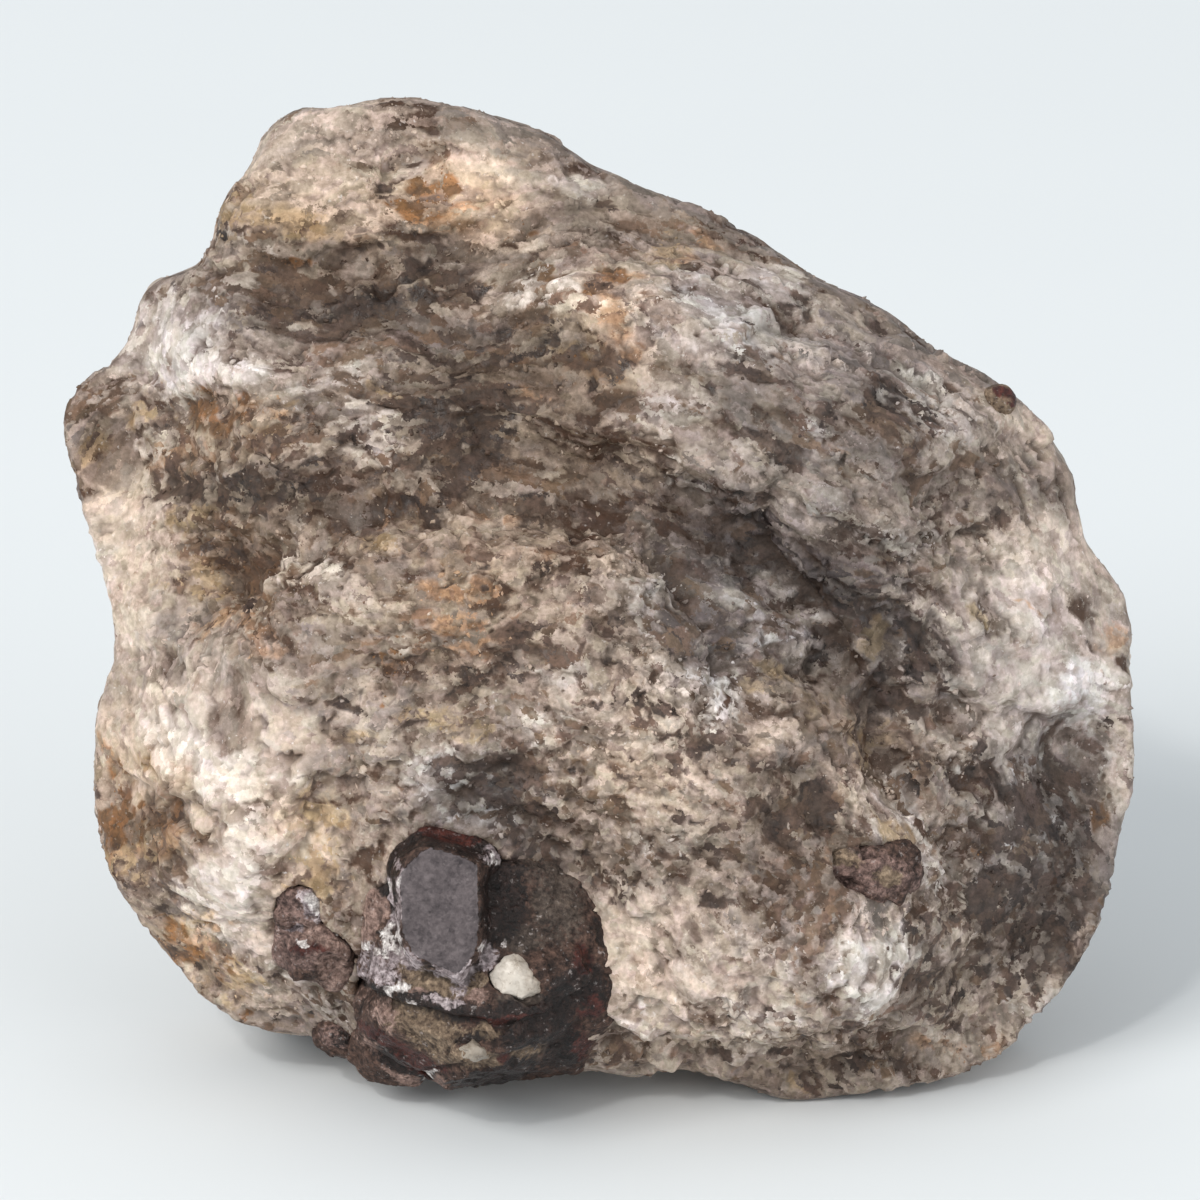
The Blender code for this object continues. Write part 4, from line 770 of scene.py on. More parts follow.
def rock_colour(finish, cells, fine):
    """The rock's colour with painted highlights on its palest specks, how much of it is dark mica, and how
    massive and smooth it is.
    """
    tones = parts_of(finish, cells)
    specks = parts_of(finish, fine)
    waver = parts_of(finish, stored(finish, "waver"))
    blocks = parts_of(finish, stored(finish, "block_tones"))
    chips = parts_of(finish, stored(finish, "chip_tones"))
    blotch, streak, _ = parts_of(finish, stored(finish, "tones"))
    pale, warm, massive = parts_of(finish, stored(finish, "broad"))
    grainy = 1.0 - massive * 0.6
    slow = blocks[0] * 0.66 + blotch * 0.62 + streak * 0.30 - 0.16
    quick = (chips[0] - 0.5) * 0.60 + (tones[0] - 0.5) * 0.46 + (specks[0] - 0.5) * 0.40
    ground_tone = (slow + quick * grainy + massive * 0.16 - 0.12).kept()
    colour = mixed(finish, ground_tone, *GROUND)
    shares = {}
    for number, names in enumerate(SHARE_NAMES):
        for name, part in zip(names, parts_of(finish, stored(finish, f"minerals_{number}"))):
            shares[name] = part
    for number, (name, colours) in enumerate(MINERAL_COLOURS.items()):
        first, second, third = number % 3, (number + 1) % 3, (number + 2) % 3
        own = chips[first] * 0.50 + blocks[third] * 0.26 + tones[first] * 0.42
        chance = (own + waver[second] * 0.40 + specks[first] * 0.26 - 0.92) * grainy + 0.5
        own_tone = chips[second] * 0.40 + tones[third] * 0.56 + specks[second] * 0.50
        tone = (own_tone + streak * 0.3 - 0.35).kept()
        colour, cover = painted(
            finish, colour, shares[name], chance, tone, colours, FULLEST[name], STRAY[name])
    colour = mixed(finish, 1.0, colour, mixed(finish, pale, *TONE_TINTS), "MULTIPLY")
    colour = mixed(finish, 1.0, colour, mixed(finish, warm, *WARM_TINTS), "MULTIPLY")
    hue = (tones[1] * 0.5 + chips[1] * 0.4 + specks[1] * 0.4 - 0.15).kept()
    colour = mixed(finish, 1.0, colour, mixed(finish, hue, *HUE_TINTS), "MULTIPLY")
    blush = (tones[2] * 0.5 + chips[2] * 0.3 + specks[0] * 0.7 - 0.25).kept()
    colour = mixed(finish, 1.0, colour, mixed(finish, blush, *BLUSH_TINTS), "MULTIPLY")
    # painted highlights: the brightest specks in the paler parts are painted near white, as painted glints
    bright = ((specks[2] - GLINT_FROM) * GLINT_SHARPNESS).kept()
    painted_glint = bright * (1.0 - cover) * (pale * 0.8).kept()
    return mixed(finish, painted_glint, colour, PAINTED_GLINT_COLOUR), cover, massive


print("the smallest grains are about", GRAIN_SIZE[0], "by", GRAIN_SIZE[1], "mm")

# %% The finish of the lump
DIRT_AND_SHADE_COLOUR = shade(70, 57, 48)
GRIT_TONES = [(0.30, (0.70, 0.67, 0.65, 1)), (0.70, (1.24, 1.24, 1.25, 1))]
BUMP_REACH = 0.00030  # metres
ROCK_GLOSS = 0.30


def rock_finish(name, bump_strength, own_cells=True):
    """Gneiss: sugary grains, streaks, dust and painted shade in the hollows, painted highlights on pale
    specks and fine grit all over.
    """
    finish = Finish(name)
    place = finish.node("ShaderNodeTexCoord", None, None, 3)
    fine_place = stretched(finish, place, IN_MILLIMETRES)
    fine = noise_node(finish, fine_place, 2.1, 3.0, 0.66, 1)
    grit = Value(finish, fine.socket.node.outputs[0])
    if own_cells:
        bands = stored(finish, "bands")
        wandering = finish.node("ShaderNodeVectorMath", {"operation": "ADD"}, {0: bands, 1: fine})
        grain_places = stretched(finish, wandering, tuple(1.0 / size for size in GRAIN_SIZE))
        cells = cells_node(finish, grain_places, 1.0)
        own_middle = Value(finish, cells.socket.node.outputs["Position"])
        from_middle = finish.node("ShaderNodeVectorMath", {"operation": "SUBTRACT"},
                                  {0: grain_places, 1: own_middle})
        lean = finish.node("ShaderNodeVectorMath", {"operation": "SUBTRACT"}, {0: cells, 1: (0.5, 0.5, 0.5)})
        facet = finish.node(
            "ShaderNodeVectorMath", {"operation": "DOT_PRODUCT"}, {0: from_middle, 1: lean}, "Value")
        height = grit * 0.55 + facet * 0.9
    else:
        cells = stored(finish, "grain_tones")
        height = grit
    colour, dark, massive = rock_colour(finish, cells, fine)
    height = height * (1.0 - massive * 0.75)
    hollow = stored(finish, "hollow", 2)
    # painted shade and dust: the hollows are painted darker, towards a dusty brown
    dirt_and_shade = (hollow * 0.8 + grit * 0.3 - 0.15).kept()
    colour = mixed(finish, dirt_and_shade * 0.6, colour, DIRT_AND_SHADE_COLOUR)
    lightness = finish.node("ShaderNodeValToRGB", {"stops": GRIT_TONES}, {0: grit})
    colour = mixed(finish, 1.0 - massive * 0.4, colour, mixed(finish, 1.0, colour, lightness, "MULTIPLY"))
    sheen = parts_of(finish, cells)[1]
    roughness = (0.30 + 0.30 * grit + 0.34 * sheen - 0.1 * dark - 0.1 * massive).kept()
    bump = finish.node(
        "ShaderNodeBump", None, {"Strength": bump_strength, "Distance": BUMP_REACH, "Height": height})
    finish.set(Base_Color=colour, Roughness=roughness, Normal=bump)
    finish.shader.inputs["Specular IOR Level"].default_value = ROCK_GLOSS
    return finish.material


rock = rock_finish("gneiss", 0.5)
print("the rock's finish has", len(rock.node_tree.nodes), "nodes")

# %% [markdown]
# ## The rock's broken surface
#
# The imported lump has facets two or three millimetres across. A voxel remesh turns it into an even skin
# of small triangles, smoothing takes the facets away, and then the true breaks go on: blocks of
# four millimetres or so with flat, tilted faces, grains of about one millimetre on those, ridges along
# the bands, hollows where soft mica weathered out, and bosses where hard feldspar stands.

# %% An even, fine skin over the lump
SKIN_VOXEL = 0.00040
SKIN_TRIANGLES = 196000  # what is kept of them after the breaks are on
SMOOTHING_STEPS = 6
SOCKET_CALM = (0.4, 2.2)  # millimetres from a crystal over which the breaks fade in


def node_copy(node, name):
    """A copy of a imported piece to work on, at the same place."""
    copy = bpy.data.objects.new(name, nodes[node].data.copy())
    bpy.context.scene.collection.objects.link(copy)
    copy.data.materials.clear()
    for layer in list(copy.data.uv_layers):
        copy.data.uv_layers.remove(layer)
    return copy


def settle(thing):
    """Apply an object's modifiers to its mesh."""
    evaluated = thing.evaluated_get(bpy.context.evaluated_depsgraph_get())
    mesh = bpy.data.meshes.new_from_object(evaluated)
    thing.modifiers.clear()
    thing.data = mesh


def reskin(thing, voxel, smoothing):
    """Give a piece an even skin of small triangles, and wear off its facets."""
    skin = thing.modifiers.new("skin", "REMESH")
    skin.mode = "VOXEL"
    skin.voxel_size = voxel
    thing.modifiers.new("triangles", "TRIANGULATE")
    if smoothing:
        worn = thing.modifiers.new("worn", "SMOOTH")
        worn.factor = 0.5
        worn.iterations = smoothing
    settle(thing)


def points_of(mesh):
    """A mesh's points and their normals, as arrays."""
    points = np.empty(len(mesh.vertices) * 3)
    mesh.vertices.foreach_get("co", points)
    normals = np.empty(len(mesh.vertices) * 3)
    mesh.vertex_normals.foreach_get("vector", normals)
    return points.reshape(-1, 3), normals.reshape(-1, 3)


def weld(mesh, distance):
    """Join points that share a place, so that the skin is one closed surface."""
    shape = bmesh.new()
    shape.from_mesh(mesh)
    bmesh.ops.remove_doubles(shape, verts=shape.verts, dist=distance)
    shape.to_mesh(mesh)
    shape.free()


matrix_rock = node_copy("matrix", "rock_matrix")
weld(matrix_rock.data, 1e-6)
reskin(matrix_rock, SKIN_VOXEL, SMOOTHING_STEPS)
print("the skin has", len(matrix_rock.data.polygons), "triangles")

# %% How far every point is from the crystals
crystal_names = sorted(name for name in nodes if name != "matrix")


def tree_of(names):
    """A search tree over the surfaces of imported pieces."""
    corners = []
    faces = []
    for name in names:
        mesh = nodes[name].data
        start = len(corners)
        corners.extend(vertex.co.copy() for vertex in mesh.vertices)
        faces.extend([start + corner for corner in face.vertices] for face in mesh.polygons)
    return BVHTree.FromPolygons(corners, faces)


crystal_tree = tree_of(crystal_names)


def crystal_distance(points, reach=0.004):
    """The distance in millimetres from each point to the nearest crystal, up to a reach."""
    distances = np.full(len(points), reach / MM)
    low = np.min([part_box(name)[0] for name in crystal_names], axis=0) - reach
    high = np.max([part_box(name)[1] for name in crystal_names], axis=0) + reach
    near = np.all((points > low) & (points < high), axis=1)
    for number in np.flatnonzero(near):
        found = crystal_tree.find_nearest(Vector(points[number]), reach)
        if found[0] is not None:
            distances[number] = found[3] / MM
    return distances


skin_points, skin_normals = points_of(matrix_rock.data)
skin_face = to_face(skin_points)
skin_bands = band_places(skin_face)
skin_shares = mineral_shares(skin_face, skin_bands)
skin_crystal_distance = crystal_distance(skin_points)
print("points near a crystal:", int((skin_crystal_distance < 2.0).sum()))

# %% Sharp edges across the face
EDGES = {  # points along each edge: the face drops on the left of the way it runs, by so much, and climbs
    # back within its reach, in millimetres
    "slab edge": (
        [(-26.6, 0.2), (-24.6, 2.2), (-20.2, 3.8), (-18.4, 5.2), (-10.0, 5.5), (-3.0, 5.2),
         (1.5, 4.0), (4.5, 1.5), (6.8, -1.0), (7.8, -4.0)], 0.9, 1.6),
    "valley side": (
        [(22.5, -11.0), (20.5, -7.5), (18.0, -3.0), (14.5, 2.8), (9.0, 7.2), (2.0, 10.6)], 0.8, 1.8),
    "crown edge": ([(0.0, 29.4), (-6.0, 28.8), (-12.0, 27.2), (-16.5, 26.2), (-22.5, 25.4)], 0.5, 2.0),
    "cheek edge": ([(39.0, -8.6), (36.5, -10.2), (33.0, -8.4), (27.5, -7.6)], 0.45, 2.0),
    "rib side": ([(21.4, -13.8), (22.9, -15.8), (25.1, -19.1), (26.2, -22.5), (26.5, -28.0)], 0.8, 1.8),
    "shelf edge": ([(31.0, -30.5), (21.0, -32.8), (12.0, -33.2), (3.0, -32.8)], 0.8, 1.6),
    "crack under the shelf": ([(24.0, -34.4), (17.0, -35.0), (10.0, -34.6)], 0.6, 0.8),
    "block above the valley": ([(12.6, 8.8), (11.6, 6.6), (9.0, 5.9), (6.2, 7.4)], 0.8, 1.4),
    "left shoulder": ([(-21.0, 17.2), (-25.5, 15.4), (-31.0, 15.2), (-36.0, 13.8)], 0.7, 1.6),
    "nose": ([(-30.5, 9.6), (-34.5, 9.4), (-39.0, 9.6)], 0.6, 1.5),
    "slab's right end": ([(7.8, -4.0), (7.2, -7.5), (10.4, -10.5)], 0.5, 1.4),
    "square pit": ([(14.4, -12.4), (17.8, -12.8), (18.2, -17.6)], 0.7, 1.4),
    "sill of the square pit": ([(14.2, -18.4), (13.8, -12.6)], 0.5, 1.2),
    "upper right shelf": ([(27.0, 14.0), (21.5, 17.8), (15.0, 21.2), (9.5, 19.2)], 0.5, 1.6),
    "pale slab's side": ([(-21.0, -14.0), (-23.5, -20.0), (-24.5, -27.0)], 0.5, 1.6),
    "rusty hollow": ([(-30.0, -14.6), (-33.5, -13.4), (-37.6, -11.6)], 0.7, 2.0),
    "middle ledge": ([(4.0, -13.2), (-1.5, -11.6), (-8.0, -12.2)], 0.35, 1.2),
    "dark band's top": ([(-4.0, 16.2), (-9.0, 18.6), (-15.0, 16.6)], 0.6, 1.8),
    "crown's pit": ([(-12.0, 33.6), (-15.2, 33.2), (-16.6, 30.6)], 0.7, 1.4),
    "right hollow": ([(27.0, -14.8), (30.5, -12.4), (35.5, -13.0)], 0.5, 1.6),
}
EDGE_FRAY = 0.8


def drop_past(face, path, drop, reach):
    """A sharp drop on the left of a path, which climbs back within its reach."""
    here = face[:, :2]
    nearest = np.full(len(here), 99.0)
    side = np.ones(len(here))
    for start, end in zip(path, path[1:]):
        start = np.array(start)
        step = np.array(end) - start
        share = np.clip((here - start) @ step / (step @ step), 0.0, 1.0)
        offset = here - start - share[:, None] * step
        distance = np.linalg.norm(offset, axis=1)
        side = np.where(distance < nearest, np.sign(step[0] * offset[:, 1] - step[1] * offset[:, 0]), side)
        nearest = np.minimum(nearest, distance)
    past = nearest * side
    ends = np.exp(-np.maximum(nearest - reach, 0.0))
    return -drop * smooth_step(-0.2, 0.3, past) * np.exp(-(np.maximum(past, 0.0) / reach) ** 2) * ends


print(len(EDGES), "edges")

# %% The breaks, grains, ridges and hollows
BLOCK_SIZE = (4.4, 2.7, 3.2)
CHIP_SIZE = (2.0, 1.2, 1.4)
SUGAR_SIZE = (1.1, 0.75, 0.85)
BLOCK_DEPTH = 0.52
CHIP_DEPTH = 0.25
SUGAR_DEPTH = 0.09
RIDGE_DEPTH = 0.18
BLOCK_CRACK, CHIP_CRACK, SUGAR_CRACK = 0.16, 0.09, 0.05  # how deep the joints between them are
MASSIVE_CALM = {  # how much of each the smooth, massive parts lose
    "sugar": 0.95, "chips": 0.9, "block cracks": 0.5, "ridges": 0.6,
}
MASSIVE_SWELL = 0.2  # and how much bolder their big breaks are
ROLL_DEPTH = 0.35
STANDS_PROUD = {"white": 0.18, "cream": 0.12, "grey": 0.05, "rust": -0.22, "brown": -0.18, "dark": -0.45,
                "smoky": -0.15}
RIM_CALM = (1.0, 7.0)  # how far out of the outline's plane the breaks reach their full depth
SOCKET_LIP = 0.24  # how far the rock closes in on a crystal
FLOOR_MARGIN = 0.02


def rock_cells(face, bands):
    """The rock's blocks, its chips and its sugary grains."""
    wavering = bands + 0.8 * np.stack(
        [layered_noise(face * 0.45 + 5.0 * number, 601 + 7 * number, 2) for number in range(3)], axis=1)
    wavering += 0.3 * np.stack(
        [layered_noise(face * 1.3 + 5.0 * number, 661 + 7 * number, 2) for number in range(3)], axis=1)
    return [tilted_cells(wavering / size, seed)
            for size, seed in ((BLOCK_SIZE, 611), (CHIP_SIZE, 621), (SUGAR_SIZE, 631))]


def broken_relief(face, bands, shares, massive):
    """How far the broken surface stands above the worn one, in millimetres."""
    (blocks, block_edge, _), (chips, chip_edge, _), (sugar, sugar_edge, _) = rock_cells(face, bands)
    ridges = layered_noise(bands / (4.5, 0.85, 1.6), 641, 3)
    rolls = layered_noise(bands / (7.0, 3.5, 4.0), 651, 3)
    sugary = smooth_step(-0.3, 0.5, layered_noise(bands / (9.0, 5.0, 6.0), 671, 2))
    calm = {part: 1.0 - share * massive for part, share in MASSIVE_CALM.items()}
    sugary = (0.4 + sugary) * calm["sugar"]
    height = BLOCK_DEPTH * blocks * (1.0 + MASSIVE_SWELL * massive) + CHIP_DEPTH * chips * calm["chips"]
    height += SUGAR_DEPTH * sugar * sugary
    height -= BLOCK_CRACK * np.exp(-block_edge * 9.0) * calm["block cracks"]
    height -= CHIP_CRACK * np.exp(-chip_edge * 8.0) * calm["chips"]
    height -= SUGAR_CRACK * np.exp(-sugar_edge * 7.0) * sugary
    height += (RIDGE_DEPTH * (0.4 - np.abs(ridges)) + ROLL_DEPTH * rolls) * calm["ridges"]
    for mineral, depth in STANDS_PROUD.items():
        height += depth * shares[mineral]
    return height


def all_edges(face):
    """The drops of every edge together, on the face's side only."""
    frayed = face.copy()
    frayed[:, 0] += EDGE_FRAY * layered_noise(face / 2.4, 681, 3)
    frayed[:, 1] += EDGE_FRAY * layered_noise(face / 2.4, 691, 3)
    return sum(drop_past(frayed, *edge) for edge in EDGES.values()) * smooth_step(0.0, 3.0, face[:, 2])


def raise_skin():
    """Move the skin's points out and in: calmer near the rim and the crystals, and flat on the floor."""
    massive = broad_tones(skin_face, skin_bands)[:, 2]
    relief = broken_relief(skin_face, skin_bands, skin_shares, massive) * (
        0.45 + 0.55 * smooth_step(*RIM_CALM, np.abs(skin_face[:, 2])))
    relief += all_edges(skin_face)
    relief *= 0.2 + 0.8 * smooth_step(*SOCKET_CALM, skin_crystal_distance)
    relief += SOCKET_LIP * (1.0 - smooth_step(0.3, 1.4, skin_crystal_distance))
    relief *= smooth_step(0.0, 1.2, skin_points[:, 2] / MM)
    moved = skin_points + skin_normals * relief[:, None] * MM
    moved[:, 2] = np.maximum(moved[:, 2], FLOOR_MARGIN * MM)
    matrix_rock.data.vertices.foreach_set("co", moved.ravel())
    matrix_rock.data.update()
    return relief


def carry(mesh, name, kind, values):
    """Store values on a mesh's points under a name."""
    layer = mesh.attributes.new(name, kind, "POINT")
    field = "value" if kind == "FLOAT" else "vector"
    layer.data.foreach_set(field, np.ascontiguousarray(values, dtype=np.float32).ravel())


def thin_out(thing, triangles):
    """Merge the smallest triangles where the surface is flattest, until so many are left."""
    fewer = thing.modifiers.new("fewer", "DECIMATE")
    fewer.ratio = min(triangles / len(thing.data.polygons), 1.0)
    settle(thing)


skin_relief = raise_skin()
carry(matrix_rock.data, "worn_place", "FLOAT_VECTOR", skin_face)
thin_out(matrix_rock, SKIN_TRIANGLES)
print("relief from", round(skin_relief.min(), 2), "to", round(skin_relief.max(), 2), "mm, on",
      len(matrix_rock.data.polygons), "triangles")

# %% [markdown]
# Hollows look darker than bosses on a real stone, because they are shaded and because dust and rust
# collect in them. The finish paints them darker for both reasons: dust, and painted shade. How hollow a
# place is comes from the mesh itself: each point is compared with the average of its neighbours, near ones
# for small pits and further ones for larger hollows.

# %% What the mesh carries for the finish
HOLLOW_NEAR_STEPS = 3
HOLLOW_FAR_STEPS = 22
NEAR_DEPTH, FAR_DEPTH = 0.10, 0.40  # millimetres that count as a full hollow


def hollowness(mesh, points, normals, steps):
    """How far each point lies below its neighbourhood's average, in millimetres."""
    ends = np.empty(len(mesh.edges) * 2, dtype=np.int64)
    mesh.edges.foreach_get("vertices", ends)
    first, second = ends.reshape(-1, 2).T
    neighbours = np.bincount(first, minlength=len(points)) + np.bincount(second, minlength=len(points))
    average = points.copy()
    for _ in range(steps):
        total = np.stack(
            [np.bincount(first, average[second, axis], len(points))
             + np.bincount(second, average[first, axis], len(points)) for axis in range(3)], axis=1)
        average = (average + total / neighbours[:, None]) / 2.0
    return np.sum((average - points) * normals, axis=1) / MM


def rock_tones(bands):
    """Three wavers of about a grain or two, and the slow blotches and streaks of the ground."""
    fine_bands = bands / (2.6, 1.15, 1.3)
    waver = np.stack([layered_noise(fine_bands, 701 + 10 * number, 3) for number in range(3)], axis=1)
    blotch = layered_noise(bands / (5.0, 2.6, 3.0), 731, 3)
    streak = layered_noise(bands / (5.0, 0.9, 1.6), 741, 3)
    tones = np.stack([blotch, streak, blotch], axis=1)
    return waver * 0.5 + 0.5, tones * 0.5 + 0.5


def carry_rock(mesh, face, bands, shares, hollow):
    """Store what the rock's finish reads."""
    waver, tones = rock_tones(bands)
    carry(mesh, "broad", "FLOAT_VECTOR", broad_tones(face, bands))
    carry(mesh, "bands", "FLOAT_VECTOR", bands)
    carry(mesh, "waver", "FLOAT_VECTOR", waver)
    carry(mesh, "tones", "FLOAT_VECTOR", tones)
    for number, names in enumerate(SHARE_NAMES):
        carry(mesh, f"minerals_{number}", "FLOAT_VECTOR", np.stack([shares[name] for name in names], axis=1))
    carry(mesh, "hollow", "FLOAT", hollow)


rock_points, rock_normals = points_of(matrix_rock.data)
rock_face = np.empty(len(rock_points) * 3)
matrix_rock.data.attributes["worn_place"].data.foreach_get("vector", rock_face)
rock_face = rock_face.reshape(-1, 3)
rock_bands = band_places(rock_face)
rock_shares = mineral_shares(rock_face, rock_bands)
near_hollow = hollowness(matrix_rock.data, rock_points, rock_normals, HOLLOW_NEAR_STEPS)
far_hollow = hollowness(matrix_rock.data, rock_points, rock_normals, HOLLOW_FAR_STEPS)
rock_hollow = np.clip(near_hollow / NEAR_DEPTH * 0.5 + far_hollow / FAR_DEPTH * 0.6, -1.0, 1.0)
carry_rock(matrix_rock.data, rock_face, rock_bands, rock_shares, rock_hollow)
rock_blocks, rock_chips, _ = rock_cells(rock_face, rock_bands)
carry(matrix_rock.data, "block_tones", "FLOAT_VECTOR", rock_blocks[2])
carry(matrix_rock.data, "chip_tones", "FLOAT_VECTOR", rock_chips[2])
matrix_rock.data.attributes.remove(matrix_rock.data.attributes["worn_place"])
matrix_rock.data.materials.append(rock)
matrix_rock.data.shade_smooth()
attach(matrix_rock, "root")
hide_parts("matrix")
print("hollows:", np.round(np.percentile(rock_hollow, [5, 50, 95]), 2))

# %% [markdown]
# ## Loose-looking grains
#
# A broken face of this rock glitters, because it is covered with little crystals that broke free on
# most sides. They are made as thousands of small faceted chips, sunk into the skin so that only a
# corner or a face stands out. Each one takes the mineral of the place where it sits, so they belong to the
# rock's pattern. Mica comes as thin flakes that lie nearly flat. All the chips of one kind are one mesh.

# %% Random places on a surface
def places_on(mesh, count, seed):
    """Random places spread evenly over a triangle mesh, with the surface's normal there."""
    chance = np.random.default_rng(seed)
    mesh.calc_loop_triangles()
    corners = np.empty(len(mesh.loop_triangles) * 3, dtype=np.int64)
    mesh.loop_triangles.foreach_get("vertices", corners)
    triangles = points_of(mesh)[0][corners.reshape(-1, 3)]
    sides = np.cross(triangles[:, 1] - triangles[:, 0], triangles[:, 2] - triangles[:, 0])
    areas = np.linalg.norm(sides, axis=1)
    picked = chance.choice(len(areas), count, p=areas / areas.sum())
    shares = chance.dirichlet((1.0, 1.0, 1.0), count)
    spots = np.sum(triangles[picked] * shares[:, :, None], axis=1)
    return spots, sides[picked] / areas[picked, None]


print("three places:", np.round(places_on(matrix_rock.data, 3, 1)[0] / MM, 1).tolist())

# %% A bank of chip shapes
CHIP_SHAPES = 16


def chip_bank():
    """Uneven twenty-sided chips, and the triangles that they share."""
    shape = bmesh.new()
    bmesh.ops.create_icosphere(shape, subdivisions=1, radius=1.0)
    ball = np.array([vertex.co for vertex in shape.verts])
    faces = np.array([[vertex.index for vertex in face.verts] for face in shape.faces])
    shape.free()
    chance = np.random.default_rng(77)
    reach = chance.uniform(0.72, 1.22, (CHIP_SHAPES, len(ball), 1))
    return ball * reach + chance.normal(0.0, 0.10, (CHIP_SHAPES, len(ball), 3)), faces


def flake_bank():
    """Six-sided flakes with uneven outlines."""
    chance = np.random.default_rng(78)
    turns = np.radians(np.arange(6) * 60.0)
    shapes = []
    for _ in range(CHIP_SHAPES):
        reach = chance.uniform(0.7, 1.15, 6)
        rim = np.stack([np.cos(turns) * reach, np.sin(turns) * reach, chance.normal(0, 0.10, 6)], axis=1)
        shapes.append(np.concatenate([rim + (0, 0, 0.12), rim - (0, 0, 0.12)]))
    fan = [(0, step, step + 1) for step in range(1, 5)]
    under = [(6, 6 + step + 1, 6 + step) for step in range(1, 5)]
    walls = []
    for step in range(6):
        after = (step + 1) % 6
        walls += [(step, step + 6, after + 6), (step, after + 6, after)]
    return np.array(shapes), np.array(fan + under + walls)


CHIPS = chip_bank()
FLAKES = flake_bank()
print("a chip has", len(CHIPS[1]), "triangles and a flake", len(FLAKES[1]))

# %% Many chips as one mesh
def facing(normals, chance, waver):
    """For each normal, three axes at right angles, the last one near the normal, turned at random."""
    up = normals + chance.normal(0.0, waver, normals.shape)
    up /= np.linalg.norm(up, axis=1, keepdims=True)
    side = np.cross(up, chance.normal(0.0, 1.0, up.shape))
    side /= np.linalg.norm(side, axis=1, keepdims=True)
    return np.stack([side, np.cross(up, side), up], axis=1)


def mesh_from_arrays(name, points, faces):
    """A mesh made straight from arrays of points and triangles."""
    mesh = bpy.data.meshes.new(name)
    mesh.vertices.add(len(points))
    mesh.loops.add(faces.size)
    mesh.polygons.add(len(faces))
    mesh.vertices.foreach_set("co", points.astype(np.float32).ravel())
    mesh.loops.foreach_set("vertex_index", faces.astype(np.int32).ravel())
    mesh.polygons.foreach_set("loop_start", np.arange(0, faces.size, 3, dtype=np.int32))
    mesh.update(calc_edges=True)
    return mesh


def chips_mesh(name, spots, normals, sizes, flatness, sink, waver, bank, seed):
    """Chips at the given spots, sunk into the surface, as one mesh."""
    chance = np.random.default_rng(seed)
    shapes, faces = bank
    picked = shapes[chance.integers(0, len(shapes), len(spots))]
    scales = sizes[:, None] * np.array(flatness) * chance.uniform(0.75, 1.25, (len(spots), 3))
    axes = facing(normals, chance, waver)
    local = np.einsum("ijk,ikl->ijl", picked * scales[:, None, :], axes)
    places = spots - normals * (sizes * sink)[:, None]
    points = (places[:, None, :] + local).reshape(-1, 3)
    points[:, 2] = np.maximum(points[:, 2], FLOOR_MARGIN * MM)
    corners = faces[None] + (np.arange(len(spots)) * picked.shape[1])[:, None, None]
    return mesh_from_arrays(name, points, corners.reshape(-1, 3)), picked.shape[1]


print("chips are ready to scatter")

# %% Which mineral each chip is
GROUND_SHARE = 0.6
CHIP_CLEARANCE = 0.35  # millimetres from a crystal
FOOT_CLEARANCE = 0.5
OWN_MINERAL = 0.25  # how far a chip leans to the mineral drawn for it
COMMON_FIRST = 2.5  # more than 1 favours the mineral that is most common at the place


def pick_minerals(shares, seed):
    """A mineral for each spot, drawn by how common each is there; -1 is the ground itself."""
    count = len(shares["white"])
    chance = np.random.default_rng(seed)
    weights = np.stack([np.full(count, GROUND_SHARE)] + [shares[name] ** COMMON_FIRST for name in MINERALS])
    reach = np.cumsum(weights, axis=0)
    drawn = chance.uniform(0.0, 1.0, count) * reach[-1]
    return np.argmax(reach > drawn, axis=0) - 1


def add_chips(name, mesh, corners, minerals, shares, broad, material, seed):
    """Store on a mesh of chips what its finish reads, and add it to the scene."""
    chance = np.random.default_rng(seed)
    count = len(minerals)
    mixes = {}
    for number, mineral in enumerate(MINERALS):
        mixes[mineral] = shares[mineral] * (1.0 - OWN_MINERAL) + OWN_MINERAL * (minerals == number)
    for number, group in enumerate(SHARE_NAMES):
        group_mix = np.stack([mixes[key] for key in group], axis=1)
        carry(mesh, f"minerals_{number}", "FLOAT_VECTOR", np.repeat(group_mix, corners, axis=0))
    carry(mesh, "broad", "FLOAT_VECTOR", np.repeat(broad, corners, axis=0))
    carry(mesh, "hollow", "FLOAT", np.repeat(chance.uniform(-0.2, 0.1, count), corners))
    for layer in ("waver", "tones", "grain_tones", "block_tones", "chip_tones"):
        carry(mesh, layer, "FLOAT_VECTOR", np.repeat(chance.uniform(0.3, 0.75, (count, 3)), corners, axis=0))
    thing = bpy.data.objects.new(name, mesh)
    bpy.context.scene.collection.objects.link(thing)
    mesh.materials.append(material)
    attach(thing, "root")
    return thing


CHIP_KINDS = {  # minerals, how many, size range in millimetres, flatness, sink, waver, bank
    "feldspar_grains": (("white", "cream", "yellow", "orange"), 8200, (0.14, 0.42), (1.0, 0.85, 0.6), 0.62,
                        0.8, CHIPS),
    "quartz_chips": (("ground", "grey", "smoky"), 8200, (0.14, 0.42), (1.0, 0.85, 0.6), 0.62, 0.8, CHIPS),
    "mica_flakes": (("dark", "brown"), 900, (0.12, 0.30), (1.0, 0.85, 1.0), 0.0, 0.25, FLAKES),
    "rust_crumbs": (("rust",), 600, (0.08, 0.20), (1.0, 0.9, 0.8), 0.5, 0.8, CHIPS),
}
MOST_PLACES = 110000
NO_CHIP = -9  # marks a place that stays bare
BARE_IF_MASSIVE = 1.1  # where the rock is massive, nearly every place stays bare
MOSTLY_SMALL = 2.0  # more than 1 makes small chips commoner than big ones

